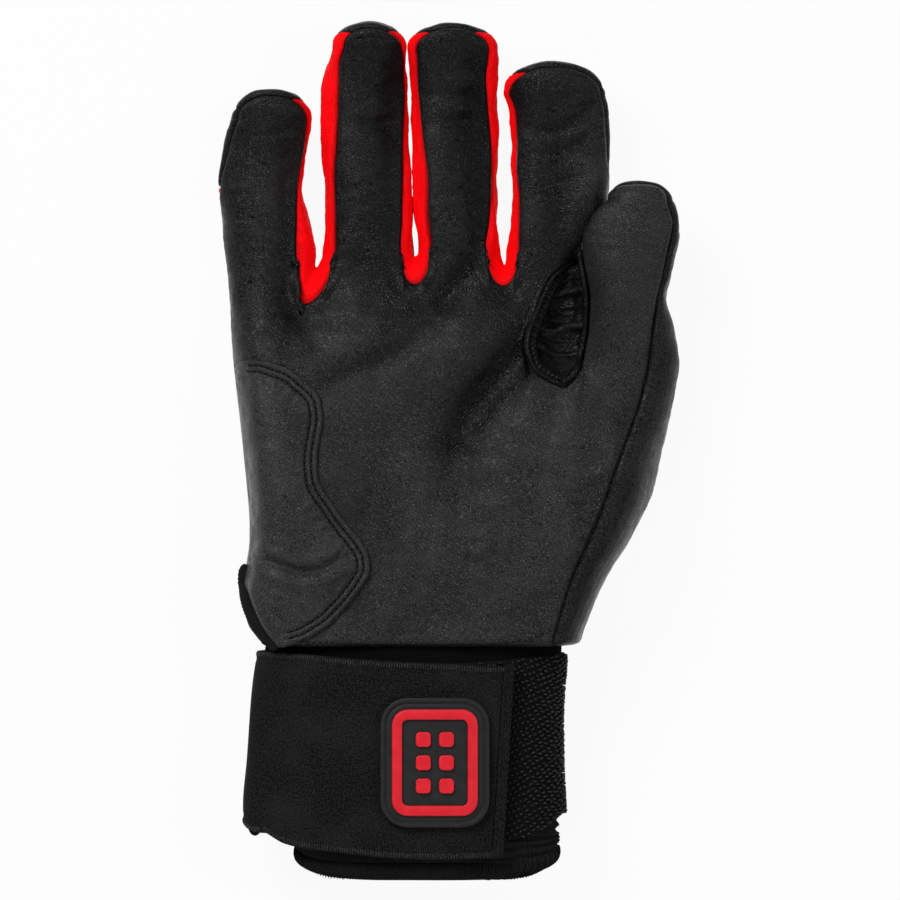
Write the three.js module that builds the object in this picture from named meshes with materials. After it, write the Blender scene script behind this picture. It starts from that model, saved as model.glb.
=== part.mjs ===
// Batting glove for the right hand, strap closed, lying palm up on its back.
// Millimetres, +Z up, fingers along +Y, thumb towards +X, origin under the middle of the glove.
// The skin is one idea used all over: every finger is a tube whose cross-section is a rounded
// oval, and a place on it is given by its height along the hand and by an angle, 90 on the palm
// side, 0 at the silhouette and -90 on the back. Panels are stretches of that skin between seams.
import * as THREE from 'three';

// Driving sizes of the hand
const handLength = 184;
const handWidth = 110;
const palmDepth = 30;
const fingerDepth = 19;
const thumbDepth = 21;
const tipCurl = 7;
const thumbRise = 13;

// Leather and seams
const leatherThickness = 1.1;
const seamGap = 0.3;
const sectionPower = 2.3;
const patchThickness = 1.5;
const patchCrown = 0.7;
const patchClearance = 0.55;

// Cuff, strap and badge
const cuffLength = 68.7;
const cuffThickness = 1.6;
const cuffDepth = 30;
const cuffPower = 2.8;
const hemThickness = 2.6;
const strapThickness = 2.2;
const loopThickness = 1.7;
const hookThickness = 1;
const endHemWidth = 3.2;
const endHemThickness = 0.7;
const layerGap = 0.3;
const tabWidth = 4.4;
const tabLength = 3.6;
const tabThickness = 1.4;
const badgeWidth = 32;
const badgeHeight = 38;
const badgeCorner = 8;
const badgeThickness = 1.8;
const frameInset = 3.4;
const frameWidth = 3;
const frameHeight = 0.8;
const studSide = 4.4;
const studCorner = 1.2;
const studPitch = 6.8;
const studHeight = 0.8;
const studColumns = 2;
const studRows = 3;

// Mesh steps
const acrossFinger = 6;
const acrossWeb = 4;
const acrossSide = 3;
const capRings = 3;
const cuffTurns = 40;
const turnStep = 360 / cuffTurns;
const plateSteps = 4;
const studSteps = 1;
const quarterTurn = 90;

// Places round and along the wrist
const foldTurn = 153;
const loopStartTurn = 117;
const loopEndTurn = -36;
const bandTopShare = 0.02;
const backBottomShare = 0.765;
const foldBottomShare = 0.8;
const loopBottomShare = 0.83;
const footRiseShare = 0.07;
const pressedFlat = 0.4;
const tabAcrossShare = -0.543;
const tabTurn = 75;
const badgeAcrossShare = -0.04;
const badgeAlongShare = 0.494;

const wristY = cuffLength - (handLength + cuffLength) / 2;
const degree = Math.PI / 180;
const clamp = THREE.MathUtils.clamp;
const lerp = THREE.MathUtils.lerp;
const smooth = THREE.MathUtils.smoothstep;

// Rows of shares that a smooth curve passes through: the first entry is the place along the
// hand as a share of its length, the rest are what is wanted there.
function along(rows, place, column) {
  const last = rows.length - 1;
  if (place <= rows[0][0]) return rows[0][column];
  if (place >= rows[last][0]) return rows[last][column];
  let k = 0;
  while (rows[k + 1][0] < place) k += 1;
  const slope = (a, b) => (rows[b][column] - rows[a][column]) / (rows[b][0] - rows[a][0]);
  const tangent = (i) => {
    if (i === 0 || i === last) return slope(Math.max(i - 1, 0), Math.min(i + 1, last));
    const before = slope(i - 1, i);
    const after = slope(i, i + 1);
    return before * after <= 0 ? 0 : (2 * before * after) / (before + after);
  };
  const step = rows[k + 1][0] - rows[k][0];
  const t = (place - rows[k][0]) / step;
  const leaving = (t ** 3 - 2 * t ** 2 + t) * step * tangent(k);
  const arriving = (t ** 3 - t ** 2) * step * tangent(k + 1);
  return lerp(rows[k][column], rows[k + 1][column], 3 * t ** 2 - 2 * t ** 3) + leaving + arriving;
}

// Finger pattern. Each row: share of the hand's length from the wrist edge of the leather, left
// and right silhouette as shares of the breadth, then the left and right seam angle in degrees.
// Silhouettes inside the palm only place the seams.
const fingers = {
  pinky: {
    shares: [
      [0.0, -0.504, -0.316, 60, 47], [0.04, -0.547, -0.322, 51, 45], [0.08, -0.56, -0.324, 38, 46],
      [0.128, -0.544, -0.327, -10, 50], [0.176, -0.534, -0.333, -10, 54], [0.313, -0.552, -0.343, -10, 53],
      [0.457, -0.579, -0.354, -10, 55], [0.553, -0.593, -0.354, -10, 57], [0.624, -0.603, -0.362, -10, 56],
      [0.689, -0.613, -0.383, -10, 41], [0.738, -0.622, -0.394, 15, 27], [0.802, -0.61, -0.381, 32, 21],
      [0.845, -0.587, -0.375, 34, 22],
    ],
    rootShare: 0.624, capShare: 0.845, tipShare: 0.893, tipAngle: 40, depthShare: 0.9,
    outer: -1, direct: -1, directShare: 0.128,
  },
  ring: {
    shares: [
      [0.0, -0.306, -0.123, 43, 43], [0.176, -0.327, -0.113, 44, 44], [0.313, -0.338, -0.107, 42, 42],
      [0.457, -0.359, -0.102, 40, 44], [0.553, -0.354, -0.091, 35, 44], [0.633, -0.341, -0.097, 43, 45],
      [0.689, -0.334, -0.102, 39, 40], [0.746, -0.341, -0.105, 42, 35], [0.826, -0.349, -0.113, 54, 23],
      [0.882, -0.345, -0.114, 54, 16], [0.938, -0.327, -0.118, 47, 17], [0.957, -0.319, -0.118, 50, 25],
    ],
    rootShare: 0.633, capShare: 0.957, tipShare: 1, tipAngle: 40, depthShare: 0.97,
    outer: 0, direct: 0, directShare: 0,
  },
  middle: {
    shares: [
      [0.0, -0.118, 0.032, 47, 47], [0.176, -0.113, 0.064, 49, 49], [0.313, -0.107, 0.091, 46, 46],
      [0.457, -0.102, 0.123, 43, 47], [0.553, -0.091, 0.139, 42, 47], [0.641, -0.087, 0.137, 48, 51],
      [0.689, -0.094, 0.129, 48, 36], [0.746, -0.098, 0.126, 50, 27], [0.794, -0.101, 0.129, 45, 31],
      [0.842, -0.103, 0.131, 38, 38], [0.906, -0.107, 0.134, 32, 47], [0.935, -0.113, 0.133, 37, 43],
      [0.954, -0.113, 0.126, 35, 35],
    ],
    rootShare: 0.641, capShare: 0.954, tipShare: 1, tipAngle: 38, depthShare: 1,
    outer: 0, direct: 0, directShare: 0,
  },
  index: {
    shares: [
      [0.0, 0.038, 0.166, 53, 47], [0.176, 0.064, 0.2, 53, 58], [0.313, 0.091, 0.241, 53, 63],
      [0.457, 0.118, 0.255, 66, 71], [0.481, 0.123, 0.249, 69, 77], [0.553, 0.139, 0.284, 59, 67],
      [0.593, 0.147, 0.311, 53, 58], [0.633, 0.153, 0.354, 46, -10], [0.673, 0.161, 0.389, 38, -10],
      [0.722, 0.164, 0.425, 33, -10], [0.77, 0.164, 0.428, 26, 15], [0.802, 0.164, 0.429, 28, 21],
      [0.855, 0.158, 0.424, 28, 21], [0.882, 0.142, 0.416, 27, 21],
    ],
    rootShare: 0.633, capShare: 0.882, tipShare: 0.938, tipAngle: 36, depthShare: 1.02,
    outer: 0, direct: 1, directShare: 0.634,
  },
  thumb: {
    shares: [
      [0.0, 0.196, 0.341, 49, 89], [0.088, 0.193, 0.402, 49, 83], [0.176, 0.241, 0.491, 45, 87],
      [0.249, 0.274, 0.547, 46, 86], [0.313, 0.295, 0.569, 46, 80], [0.409, 0.322, 0.605, 38, 71],
      [0.457, 0.351, 0.619, 17, 72], [0.505, 0.37, 0.603, 13, 64], [0.553, 0.373, 0.582, 14, 45],
      [0.593, 0.366, 0.595, 10, 40], [0.633, 0.358, 0.611, -10, 40], [0.653, 0.358, 0.617, -10, 38],
      [0.678, 0.375, 0.614, -10, 32], [0.702, 0.402, 0.603, -10, 36], [0.713, 0.424, 0.595, -10, 35],
    ],
    rootShare: 0.633, capShare: 0.713, tipShare: 0.744, tipAngle: 36, depthShare: 1,
    outer: 1, direct: -1, directShare: 0.634,
  },
};
const order = ['pinky', 'ring', 'middle', 'index', 'thumb'];
for (const name of order) fingers[name].name = name;

// Webs between neighbours: how far the front and back seams and the bare fold reach below the
// finger roots, as shares of the hand's length.
const webs = [
  { left: 'pinky', right: 'ring', seamShare: 0.077, foldShare: 0.018 },
  { left: 'ring', right: 'middle', seamShare: 0.056, foldShare: 0.008 },
  { left: 'middle', right: 'index', seamShare: 0.058, foldShare: 0.026 },
];
const thumbWeb = { left: 'index', right: 'thumb', seamShare: 0.044, foldShare: 0.006 };
const thumbCrotch = { ...thumbWeb, seamShare: 0.012 };

// Palm top: height over the table as a share of the palm's depth, with pads and a hollow given
// as place along, place across, reach along, reach across and height, all as shares.
const palmShares = [[0, 1.15], [0.128, 1.08], [0.313, 1], [0.457, 0.87], [0.633, 0.66]];
const padShares = [
  [0.25, -0.42, 0.14, 0.16, 0.07], [0.3, 0.4, 0.17, 0.2, 0.16],
  [0.33, -0.04, 0.15, 0.24, -0.12], [0.5, 0.02, 0.07, 0.42, 0.05],
];
const edgeShares = [[0, 0.5], [0.2, 0.42], [0.457, 0.36], [0.633, 0.32]];
const seamRowShare = 0.457;
const backSeamAngle = 40;
const directSeamAngle = 10;

function palmTop(x, share) {
  let height = along(palmShares, share, 1);
  for (const [alongShare, acrossShare, reachAlong, reachAcross, rise] of padShares) {
    const a = (share - alongShare) / reachAlong;
    const b = (x / handWidth - acrossShare) / reachAcross;
    height += rise * Math.exp(-a * a - b * b);
  }
  return palmDepth * height;
}

const round = (angle) => Math.cos(angle) ** (2 / sectionPower);
const lift = (angle) => Math.sign(angle) * Math.abs(Math.sin(angle)) ** (2 / sectionPower);
const placeY = (share) => wristY + handLength * share;
const spread = (from, to, steps) => Array.from({ length: steps + 1 }, (_, i) => lerp(from, to, i / steps));
const sagCurve = (t) => Math.sin(Math.PI * t) ** 0.8;

// How much of the finger's own tube shows in the skin: none in the palm, all at the root.
function freedom(finger, share) {
  if (finger.name === 'thumb') return smooth(share, 0.28, 0.52);
  return smooth(share, seamRowShare, finger.rootShare);
}

// Centre height and half depth of the finger's own tube.
function tube(finger, share) {
  if (finger.name === 'thumb') {
    const up = smooth(share, 0.3, finger.capShare);
    const half = (thumbDepth / 2) * lerp(1.15, 0.95, up);
    return { middle: half + thumbRise * up, half };
  }
  const half = (fingerDepth / 2) * finger.depthShare;
  const bendShare = lerp(finger.rootShare, finger.capShare, 0.6);
  const bend = clamp((share - bendShare) / (finger.tipShare - bendShare), 0, 1);
  return { middle: half + tipCurl * bend ** 1.8, half };
}

// Height of the skin at a section angle, with the inner face set in by the leather.
function skinHeight(finger, side, x, share, angle, inset) {
  const { middle, half } = tube(finger, share);
  const own = middle + (half - inset) * lift(angle);
  const free = freedom(finger, share);
  if (free >= 1) return own;
  const edge = palmDepth * along(edgeShares, share, 1);
  const factor = finger.outer === side ? lift(angle) : Math.sign(angle);
  const room = angle > 0 ? palmTop(x, share) - edge : edge;
  return lerp(edge + (room - inset) * factor, own, free);
}

// A point on the side of a finger: side -1 is left, 1 is right.
function sidePoint(finger, side, share, angle, inset) {
  const left = handWidth * along(finger.shares, share, 1);
  const right = handWidth * along(finger.shares, share, 2);
  const x = (left + right) / 2 + side * ((right - left) / 2 - inset) * round(angle);
  return new THREE.Vector3(x, placeY(share), skinHeight(finger, side, x, share, angle, inset));
}

// Front and back are sewn directly on the outer sides and where the index finger faces the thumb.
const hasFourchette = (finger, side) => finger.direct !== side;
const seamAngle = (finger, side, share) => degree * along(finger.shares, share, side < 0 ? 3 : 4);

// Where the back panel starts on each side: at the front seam where the two are sewn directly.
function backAngle(finger, side, share) {
  if (hasFourchette(finger, side)) return -degree * backSeamAngle;
  if (share > finger.directShare) return seamAngle(finger, side, share);
  const free = finger.name === 'pinky' ? 1 : smooth(share, seamRowShare, finger.rootShare) ** 4;
  return -degree * lerp(backSeamAngle, directSeamAngle, free);
}

// A point of the rounded tip: turn 180 is left, 90 the far end, 0 right.
function capPoint(finger, turn, reach, front, inset) {
  const left = handWidth * along(finger.shares, finger.capShare, 1);
  const right = handWidth * along(finger.shares, finger.capShare, 2);
  const half = (right - left) / 2 - inset;
  const length = handLength * (finger.tipShare - finger.capShare) - inset;
  const x = (left + right) / 2 + half * reach * Math.cos(turn);
  const y = placeY(finger.capShare) + length * reach * Math.sin(turn);
  const own = tube(finger, (y - wristY) / handLength);
  const bulge = (1 - Math.min(reach, 1) ** sectionPower) ** (1 / sectionPower);
  return new THREE.Vector3(x, y, own.middle + front * (own.half - inset) * bulge);
}

function rimAngle(finger, turn, side) {
  const rightward = (1 + Math.cos(turn)) / 2;
  const atEnd = Math.sin(turn) ** 2;
  const pick = side > 0 ? seamAngle : backAngle;
  const level = lerp(pick(finger, -1, finger.capShare), pick(finger, 1, finger.capShare), rightward);
  return lerp(level, (side > 0 ? finger.tipAngle : -backSeamAngle) * degree, atEnd);
}

// A skin point keeps its outer and inner place together.
const skin = (place) => ({ outer: place(0), inner: place(leatherThickness) });

function rimPoint(finger, turn, angle) {
  return skin((inset) => capPoint(finger, turn, round(angle), Math.sign(angle) || 1, inset));
}

// Rows along the hand. Palm rows are shared, the next ones run to the finger roots, and the
// finger rows are shares of the finger's free length.
const palmRows = [0, 0.032, 0.064, 0.096, 0.128, 0.176, 0.232, 0.289, 0.345, 0.401, seamRowShare];
const rootSteps = 5;
const rimSteps = 2;
const fingerRowShares = [0.17, 0.34, 0.42, 0.5, 0.66, 0.83, 1];
const thumbRowShares = [0.3, 0.65, 1];

function rowsOf(finger) {
  const rows = [...palmRows];
  for (let i = 1; i <= rootSteps; i += 1) rows.push(lerp(seamRowShare, finger.rootShare, i / rootSteps));
  const free = finger.name === 'thumb' ? thumbRowShares : fingerRowShares;
  for (const share of free) rows.push(lerp(finger.rootShare, finger.capShare, share));
  return rows;
}
const rootRow = palmRows.length - 1 + rootSteps;
const thumbRow = palmRows.length - 1;
const flexRow = rootRow + 2;
const tipRow = rootRow + 4;
const lastRow = rootRow + fingerRowShares.length;

// One row of a panel across a finger, front (1) or back (-1).
function panelRow(finger, share, front) {
  const row = [];
  const edge = (side) => (front > 0 ? seamAngle : backAngle)(finger, side, share);
  for (let j = 0; j <= acrossFinger; j += 1) {
    const half = acrossFinger / 2;
    const side = j <= half ? -1 : 1;
    const inward = j <= half ? j / half : (acrossFinger - j) / half;
    const angle = lerp(edge(side), front * 90 * degree, inward);
    row.push(skin((inset) => sidePoint(finger, side, share, angle, inset)));
  }
  return row;
}

// The rounded end of a panel, from its last straight row to the rim.
function capRows(finger, front) {
  const straight = panelRow(finger, finger.capShare, front);
  const turns = straight.map((_, j) => Math.PI * (1 - j / acrossFinger));
  const rows = [];
  for (let i = 1; i <= capRings; i += 1) {
    rows.push(straight.map((start, j) => {
      const angle = rimAngle(finger, turns[j], front);
      if (j === 0 || j === acrossFinger) return start;
      if (i === capRings) return rimPoint(finger, turns[j], angle);
      return skin((inset) => {
        const from = inset ? start.inner : start.outer;
        const to = capPoint(finger, turns[j], round(angle), Math.sign(angle), inset);
        const [x, y] = [lerp(from.x, to.x, i / capRings), lerp(from.y, to.y, i / capRings)];
        return onCap(finger, x, y, front, inset);
      });
    }));
  }
  return rows;
}

function onCap(finger, x, y, front, inset) {
  const left = handWidth * along(finger.shares, finger.capShare, 1);
  const right = handWidth * along(finger.shares, finger.capShare, 2);
  const across = (x - (left + right) / 2) / ((right - left) / 2 - inset);
  const ahead = (y - placeY(finger.capShare)) / (handLength * (finger.tipShare - finger.capShare) - inset);
  const reach = Math.min(Math.hypot(across, Math.max(ahead, 0)), 1);
  const own = tube(finger, (y - wristY) / handLength);
  const bulge = (1 - reach ** sectionPower) ** (1 / sectionPower);
  return new THREE.Vector3(x, y, own.middle + front * (own.half - inset) * bulge);
}

// A row of the web under the gap between two fingers, at one level from front seam to back seam.
function webRow(web, level) {
  const [left, right] = [fingers[web.left], fingers[web.right]];
  const angleAt = (finger, side) => lerp(
    seamAngle(finger, side, finger.rootShare), backAngle(finger, side, finger.rootShare), level);
  const depth = handLength * lerp(web.foldShare, web.seamShare, Math.abs(2 * level - 1) ** 1.5);
  return spread(0, 1, acrossWeb).map((t) => skin((inset) => {
    const a = sidePoint(left, 1, left.rootShare, angleAt(left, 1), inset);
    const b = sidePoint(right, -1, right.rootShare, angleAt(right, -1), inset);
    const point = a.clone().lerp(b, (1 - Math.cos(Math.PI * t)) / 2);
    point.y -= (depth + inset) * sagCurve(t);
    return point;
  }));
}

// Columns of the palm or back under a web: they follow the web's edge and relax towards the wrist.
function gapRows(web, front, last, rowOf) {
  const rows = [];
  const [left, right] = [fingers[web.left], fingers[web.right]];
  for (let i = 0; i <= last; i += 1) {
    const from = rowOf(left, i)[acrossFinger];
    const to = rowOf(right, i)[0];
    const share = rowsOf(left)[i];
    const ease = clamp((i - last + rootSteps) / rootSteps, 0, 1) ** 1.4;
    const row = [];
    for (let e = 0; e <= acrossWeb; e += 1) {
      const t = e / acrossWeb;
      const across = lerp(t, (1 - Math.cos(Math.PI * t)) / 2, ease);
      const sag = handLength * web.seamShare * ease * sagCurve(t);
      const level = (inset) => {
        const a = inset ? from.inner : from.outer;
        const b = inset ? to.inner : to.outer;
        const point = a.clone().lerp(b, across);
        point.y -= sag + (i === last ? inset * sagCurve(t) : 0);
        const place = (point.y - wristY) / handLength;
        const own = lerp(place, share, smooth(i, last - rimSteps, last));
        const free = (freedom(left, own) + freedom(right, own)) / 2;
        const flat = front > 0 ? palmTop(point.x, place) - inset : inset;
        if (t > 0 && t < 1) point.z = lerp(flat, point.z, free);
        return point;
      };
      row.push(skin(level));
    }
    row[0] = from;
    row[acrossWeb] = to;
    rows.push(row);
  }
  return rows;
}

// Points are equal where they round to one key, and the share keeps round numbers off its borders.
const keysPerLength = 1000;
const keyShare = 0.237;

// A sheet of leather: cells are added as grids, equal points are merged, free edges are drawn
// back by half the seam gap, and the two faces and the rim close into one solid.
class Sheet {
  constructor() {
    this.points = [];
    this.cells = [];
    this.known = new Map();
  }

  index(point) {
    const key = point.outer.toArray().map((v) => Math.floor(v * keysPerLength + keyShare)).join(' ');
    if (!this.known.has(key)) {
      this.known.set(key, this.points.length);
      this.points.push({ outer: point.outer.clone(), inner: point.inner.clone() });
    }
    return this.known.get(key);
  }

  grid(rows, flip = false) {
    for (let i = 0; i + 1 < rows.length; i += 1) {
      for (let j = 0; j + 1 < rows[i].length; j += 1) {
        const corners = [rows[i][j], rows[i][j + 1], rows[i + 1][j + 1], rows[i + 1][j]];
        const loop = [...new Set(corners.map((corner) => this.index(corner)))];
        if (loop.length < 3) continue;
        this.cells.push(flip ? loop.reverse() : loop);
      }
    }
    return this;
  }

  edges() {
    const seen = new Map();
    for (const cell of this.cells) {
      cell.forEach((a, i) => seen.set(`${a} ${cell[(i + 1) % cell.length]}`, cell));
    }
    return [...seen].map(([key, cell]) => [...key.split(' ').map(Number), cell])
      .filter(([a, b]) => !seen.has(`${b} ${a}`));
  }

  drawBack(distance) {
    const pulls = new Map();
    for (const [a, b, cell] of this.edges()) {
      const start = this.points[a].outer;
      const run = this.points[b].outer.clone().sub(start).normalize();
      const centre = cell.reduce((sum, k) => sum.add(this.points[k].outer), new THREE.Vector3());
      const inward = centre.divideScalar(cell.length).sub(start);
      inward.addScaledVector(run, -inward.dot(run)).normalize();
      for (const k of [a, b]) pulls.set(k, [...(pulls.get(k) || []), inward]);
    }
    const moves = [...pulls].map(([k, list]) => {
      const sum = list.reduce((total, pull) => total.add(pull), new THREE.Vector3());
      const spread = list.length > 1 ? Math.max(1 + list[0].dot(list[1]), 0.5) : 1;
      return [k, sum.multiplyScalar(distance / spread)];
    });
    for (const [k, move] of moves) {
      this.points[k].outer.add(move);
      this.points[k].inner.add(move);
    }
  }

  solid(gap = seamGap) {
    const rim = this.edges();
    this.drawBack(gap / 2);
    const count = this.points.length;
    const faces = [];
    for (const cell of this.cells) {
      for (let i = 1; i + 1 < cell.length; i += 1) {
        faces.push([cell[0], cell[i], cell[i + 1]]);
        faces.push([cell[0] + count, cell[i + 1] + count, cell[i] + count]);
      }
    }
    for (const [a, b] of rim) {
      faces.push([b, a, a + count], [b, a + count, b + count]);
    }
    const places = [...this.points.map((p) => p.outer), ...this.points.map((p) => p.inner)];
    return closed(places, faces);
  }
}

// Builds a mesh geometry, turned right side out.
function closed(places, faces) {
  let volume = 0;
  for (const [a, b, c] of faces) volume += places[a].dot(places[b].clone().cross(places[c]));
  const turned = volume < 0 ? faces.map(([a, b, c]) => [a, c, b]) : faces;
  const geometry = new THREE.BufferGeometry();
  const positions = places.flatMap((p) => [p.x, p.y, p.z]);
  geometry.setAttribute('position', new THREE.Float32BufferAttribute(positions, 3));
  geometry.setIndex(turned.flat());
  geometry.computeVertexNormals();
  return geometry;
}

const glove = new THREE.Group();

function addPart(name, geometry, look) {
  const mesh = new THREE.Mesh(geometry, look);
  mesh.name = name;
  glove.add(mesh);
}

const material = (color, roughness) => new THREE.MeshStandardMaterial({ color, roughness, metalness: 0 });
const blackLeather = () => material(0x1d1f1f, 0.55);
const redMesh = () => material(0xd8101a, 0.75);
const knit = () => material(0x101011, 0.9);
const webbing = () => material(0x151516, 0.85);
const blackRubber = () => material(0x202122, 0.6);
const redRubber = () => material(0xc8222e, 0.5);

// Rows of the front and back panels, kept so that neighbours share them
const rowCache = new Map();
function frontRow(finger, i) {
  const key = `${finger.name} ${i} front`;
  if (rowCache.has(key)) return rowCache.get(key);
  const row = panelRow(finger, rowsOf(finger)[i], 1);
  // The gusset folds sharply under the thumb's edge, so the seam is cut on the slant there.
  const slanted = finger.name === 'thumb' && i >= thumbRow && i < rootRow;
  if (slanted) row[0].inner.z = row[0].outer.z - leatherThickness;
  rowCache.set(key, row);
  return row;
}
function backRow(finger, i) {
  const key = `${finger.name} ${i} back`;
  if (!rowCache.has(key)) rowCache.set(key, panelRow(finger, rowsOf(finger)[i], -1));
  return rowCache.get(key);
}
const rowRange = (from, to, rowOf, finger) => {
  const rows = [];
  for (let i = from; i <= to; i += 1) rows.push(rowOf(finger, i));
  return rows;
};
const finalRow = (finger) => rowsOf(finger).length - 1;

// The palm and all finger fronts are one piece of leather.
function palmLeather() {
  const sheet = new Sheet();
  for (const name of order) {
    const finger = fingers[name];
    const last = finalRow(finger);
    const rows = rowRange(0, last, frontRow, finger);
    sheet.grid([...rows, ...capRows(finger, 1)]);
  }
  for (const web of webs) sheet.grid(gapRows(web, 1, rootRow, frontRow));
  sheet.grid(gapRows(thumbWeb, 1, thumbRow, frontRow));
  return sheet.solid();
}

// The back of the hand reaches over the finger backs to the flex inserts.
function backHand() {
  const sheet = new Sheet();
  for (const name of order.slice(0, 4)) sheet.grid(rowRange(0, flexRow, backRow, fingers[name]));
  for (const web of webs) sheet.grid(gapRows(web, -1, rootRow, backRow));
  sheet.grid(gapRows(thumbCrotch, -1, rootRow, backRow));
  return sheet.solid();
}

// The share of a finger's side that belongs to the back piece: it grows towards the tip, so the
// red side strip tapers out there.
const taperShares = [[tipRow, 0], [tipRow + 1, 0.12], [tipRow + 2, 0.3], [lastRow, 0.5]];
const capTaperShares = [0.5, 0.82, 1];

function sideStrip(finger, side, share, from, to, steps) {
  const top = seamAngle(finger, side, share);
  const bottom = backAngle(finger, side, share);
  const row = [];
  for (let w = 0; w <= steps; w += 1) {
    const angle = lerp(top, bottom, lerp(from, to, w / steps));
    row.push(skin((inset) => sidePoint(finger, side, share, angle, inset)));
  }
  return row;
}

function capStrip(finger, j, from, to, steps) {
  const turn = Math.PI * (1 - j / acrossFinger);
  const top = rimAngle(finger, turn, 1);
  const bottom = rimAngle(finger, turn, -1);
  const row = [];
  for (let w = 0; w <= steps; w += 1) {
    row.push(rimPoint(finger, turn, lerp(top, bottom, lerp(from, to, w / steps))));
  }
  return row;
}

const columnOf = (side, k) => (side < 0 ? k : acrossFinger - k);

function fourchette(web) {
  const sheet = new Sheet();
  for (const [name, side] of [[web.left, 1], [web.right, -1]]) {
    const finger = fingers[name];
    const rows = [];
    for (let i = rootRow; i <= lastRow; i += 1) {
      rows.push(sideStrip(finger, side, rowsOf(finger)[i], 0, 1 - along(taperShares, i, 1), acrossWeb));
    }
    for (const k of [1, 2]) {
      rows.push(capStrip(finger, columnOf(side, k), 0, 1 - capTaperShares[k], acrossWeb));
    }
    sheet.grid(rows, side < 0);
  }
  sheet.grid(spread(0, 1, acrossWeb).map((level) => webRow(web, level)));
  return sheet.solid();
}

function fingerFlex(finger) {
  return new Sheet().grid(rowRange(flexRow, tipRow, backRow, finger)).solid();
}

function fingerBackTip(finger) {
  const sheet = new Sheet();
  sheet.grid([...rowRange(tipRow, lastRow, backRow, finger), ...capRows(finger, -1)], true);
  for (const side of [-1, 1]) {
    const rows = [];
    for (let i = tipRow; i <= lastRow; i += 1) {
      if (!hasFourchette(finger, side)) continue;
      rows.push(sideStrip(finger, side, rowsOf(finger)[i], 1 - along(taperShares, i, 1), 1, 2));
    }
    const share = hasFourchette(finger, side) ? capTaperShares : [1, 1, 1];
    for (let k = hasFourchette(finger, side) ? 1 : 0; k <= acrossFinger / 2; k += 1) {
      rows.push(capStrip(finger, columnOf(side, k), 1 - (share[k] ?? 1), 1, 2));
    }
    sheet.grid(rows, side < 0);
  }
  return sheet.solid();
}

// The side panel runs from the wrist over the thumb's back and meets the palm in front.
function thumbBack() {
  const finger = fingers.thumb;
  const sheet = new Sheet();
  const last = finalRow(finger);
  sheet.grid([...rowRange(0, last, backRow, finger), ...capRows(finger, -1)], true);
  const rows = [];
  for (let i = 0; i <= last; i += 1) rows.push(sideStrip(finger, 1, rowsOf(finger)[i], 0, 1, acrossSide));
  for (let j = acrossFinger - 1; j >= 0; j -= 1) rows.push(capStrip(finger, j, 0, 1, acrossSide));
  sheet.grid(rows);
  return sheet.solid();
}

// Shirred leather fills the opening between index finger and thumb and closes the crotch.
const gussetDishShare = 0.3;
const cornerReliefShare = 0.8;

function thumbGusset() {
  const { index, thumb } = fingers;
  const rows = [gapRows(thumbWeb, 1, thumbRow, frontRow)[thumbRow]];
  for (let i = thumbRow + 1; i < rootRow; i += 1) {
    const from = frontRow(index, i)[acrossFinger];
    const to = frontRow(thumb, i)[0];
    const dish = palmDepth * gussetDishShare * Math.sin(Math.PI * (i - thumbRow + 0.4) / (rootSteps + 0.2));
    rows.push(Array.from({ length: acrossWeb + 1 }, (_, e) => {
      if (e === 0) return from;
      if (e === acrossWeb) return to;
      return skin((inset) => {
        const a = inset ? from.inner : from.outer;
        const point = a.clone().lerp(inset ? to.inner : to.outer, e / acrossWeb);
        point.z -= dish * Math.sin(Math.PI * e / acrossWeb);
        return point;
      });
    }));
  }
  // The last row closes the crotch and stops short of the corner where four panels meet.
  const crotch = gapRows(thumbCrotch, -1, rootRow, backRow)[rootRow];
  const [beside, corner] = crotch.slice(-2);
  crotch[acrossWeb] = skin((inset) => (inset
    ? corner.inner.clone().lerp(beside.inner, cornerReliefShare)
    : corner.outer.clone().lerp(beside.outer, cornerReliefShare)));
  rows.push(crotch);
  return new Sheet().grid(rows).solid();
}

const ventEndShare = 0.7;

// Ribbed knit closes the slit at the little finger side of the wrist.
function ventBinding() {
  const finger = fingers.pinky;
  const strip = (i) => sideStrip(finger, -1, palmRows[i], 0, 1, acrossSide);
  const rows = [0, 1, 2, 3].map(strip);
  const end = strip(4);
  rows.push(rows[3].map((point, w) => ({
    outer: point.outer.clone().lerp(end[w].outer, ventEndShare),
    inner: point.inner.clone().lerp(end[w].inner, ventEndShare),
  })));
  return new Sheet().grid(rows).solid();
}

addPart('palm_leather', palmLeather(), blackLeather());
addPart('back_hand_panel', backHand(), blackLeather());
addPart('thumb_back_panel', thumbBack(), blackLeather());
addPart('thumb_gusset', thumbGusset(), blackLeather());
addPart('vent_binding', ventBinding(), knit());
for (const web of webs) addPart(`fourchette_${web.left}_${web.right}`, fourchette(web), redMesh());
for (const name of order.slice(0, 4)) {
  addPart(`finger_flex_${name}`, fingerFlex(fingers[name]), redMesh());
  addPart(`finger_back_tip_${name}`, fingerBackTip(fingers[name]), blackLeather());
}

// Heel patch: a second layer of leather on the little finger side of the palm. Its outline is
// the right edge as shares of length and breadth; the left edge follows the glove's side.
const patchShares = [
  [0, -0.434], [0.008, -0.397], [0.024, -0.322], [0.048, -0.287], [0.072, -0.257], [0.096, -0.231],
  [0.12, -0.212], [0.144, -0.215], [0.168, -0.236], [0.2, -0.279], [0.232, -0.316], [0.265, -0.349],
  [0.297, -0.353], [0.329, -0.346], [0.361, -0.338], [0.393, -0.345], [0.412, -0.365], [0.425, -0.392],
  [0.439, -0.418], [0.449, -0.448], [0.456, -0.504],
];
const patchSideAngle = 30;
const patchSeamStep = 12;
const patchAcross = 8;

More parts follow.
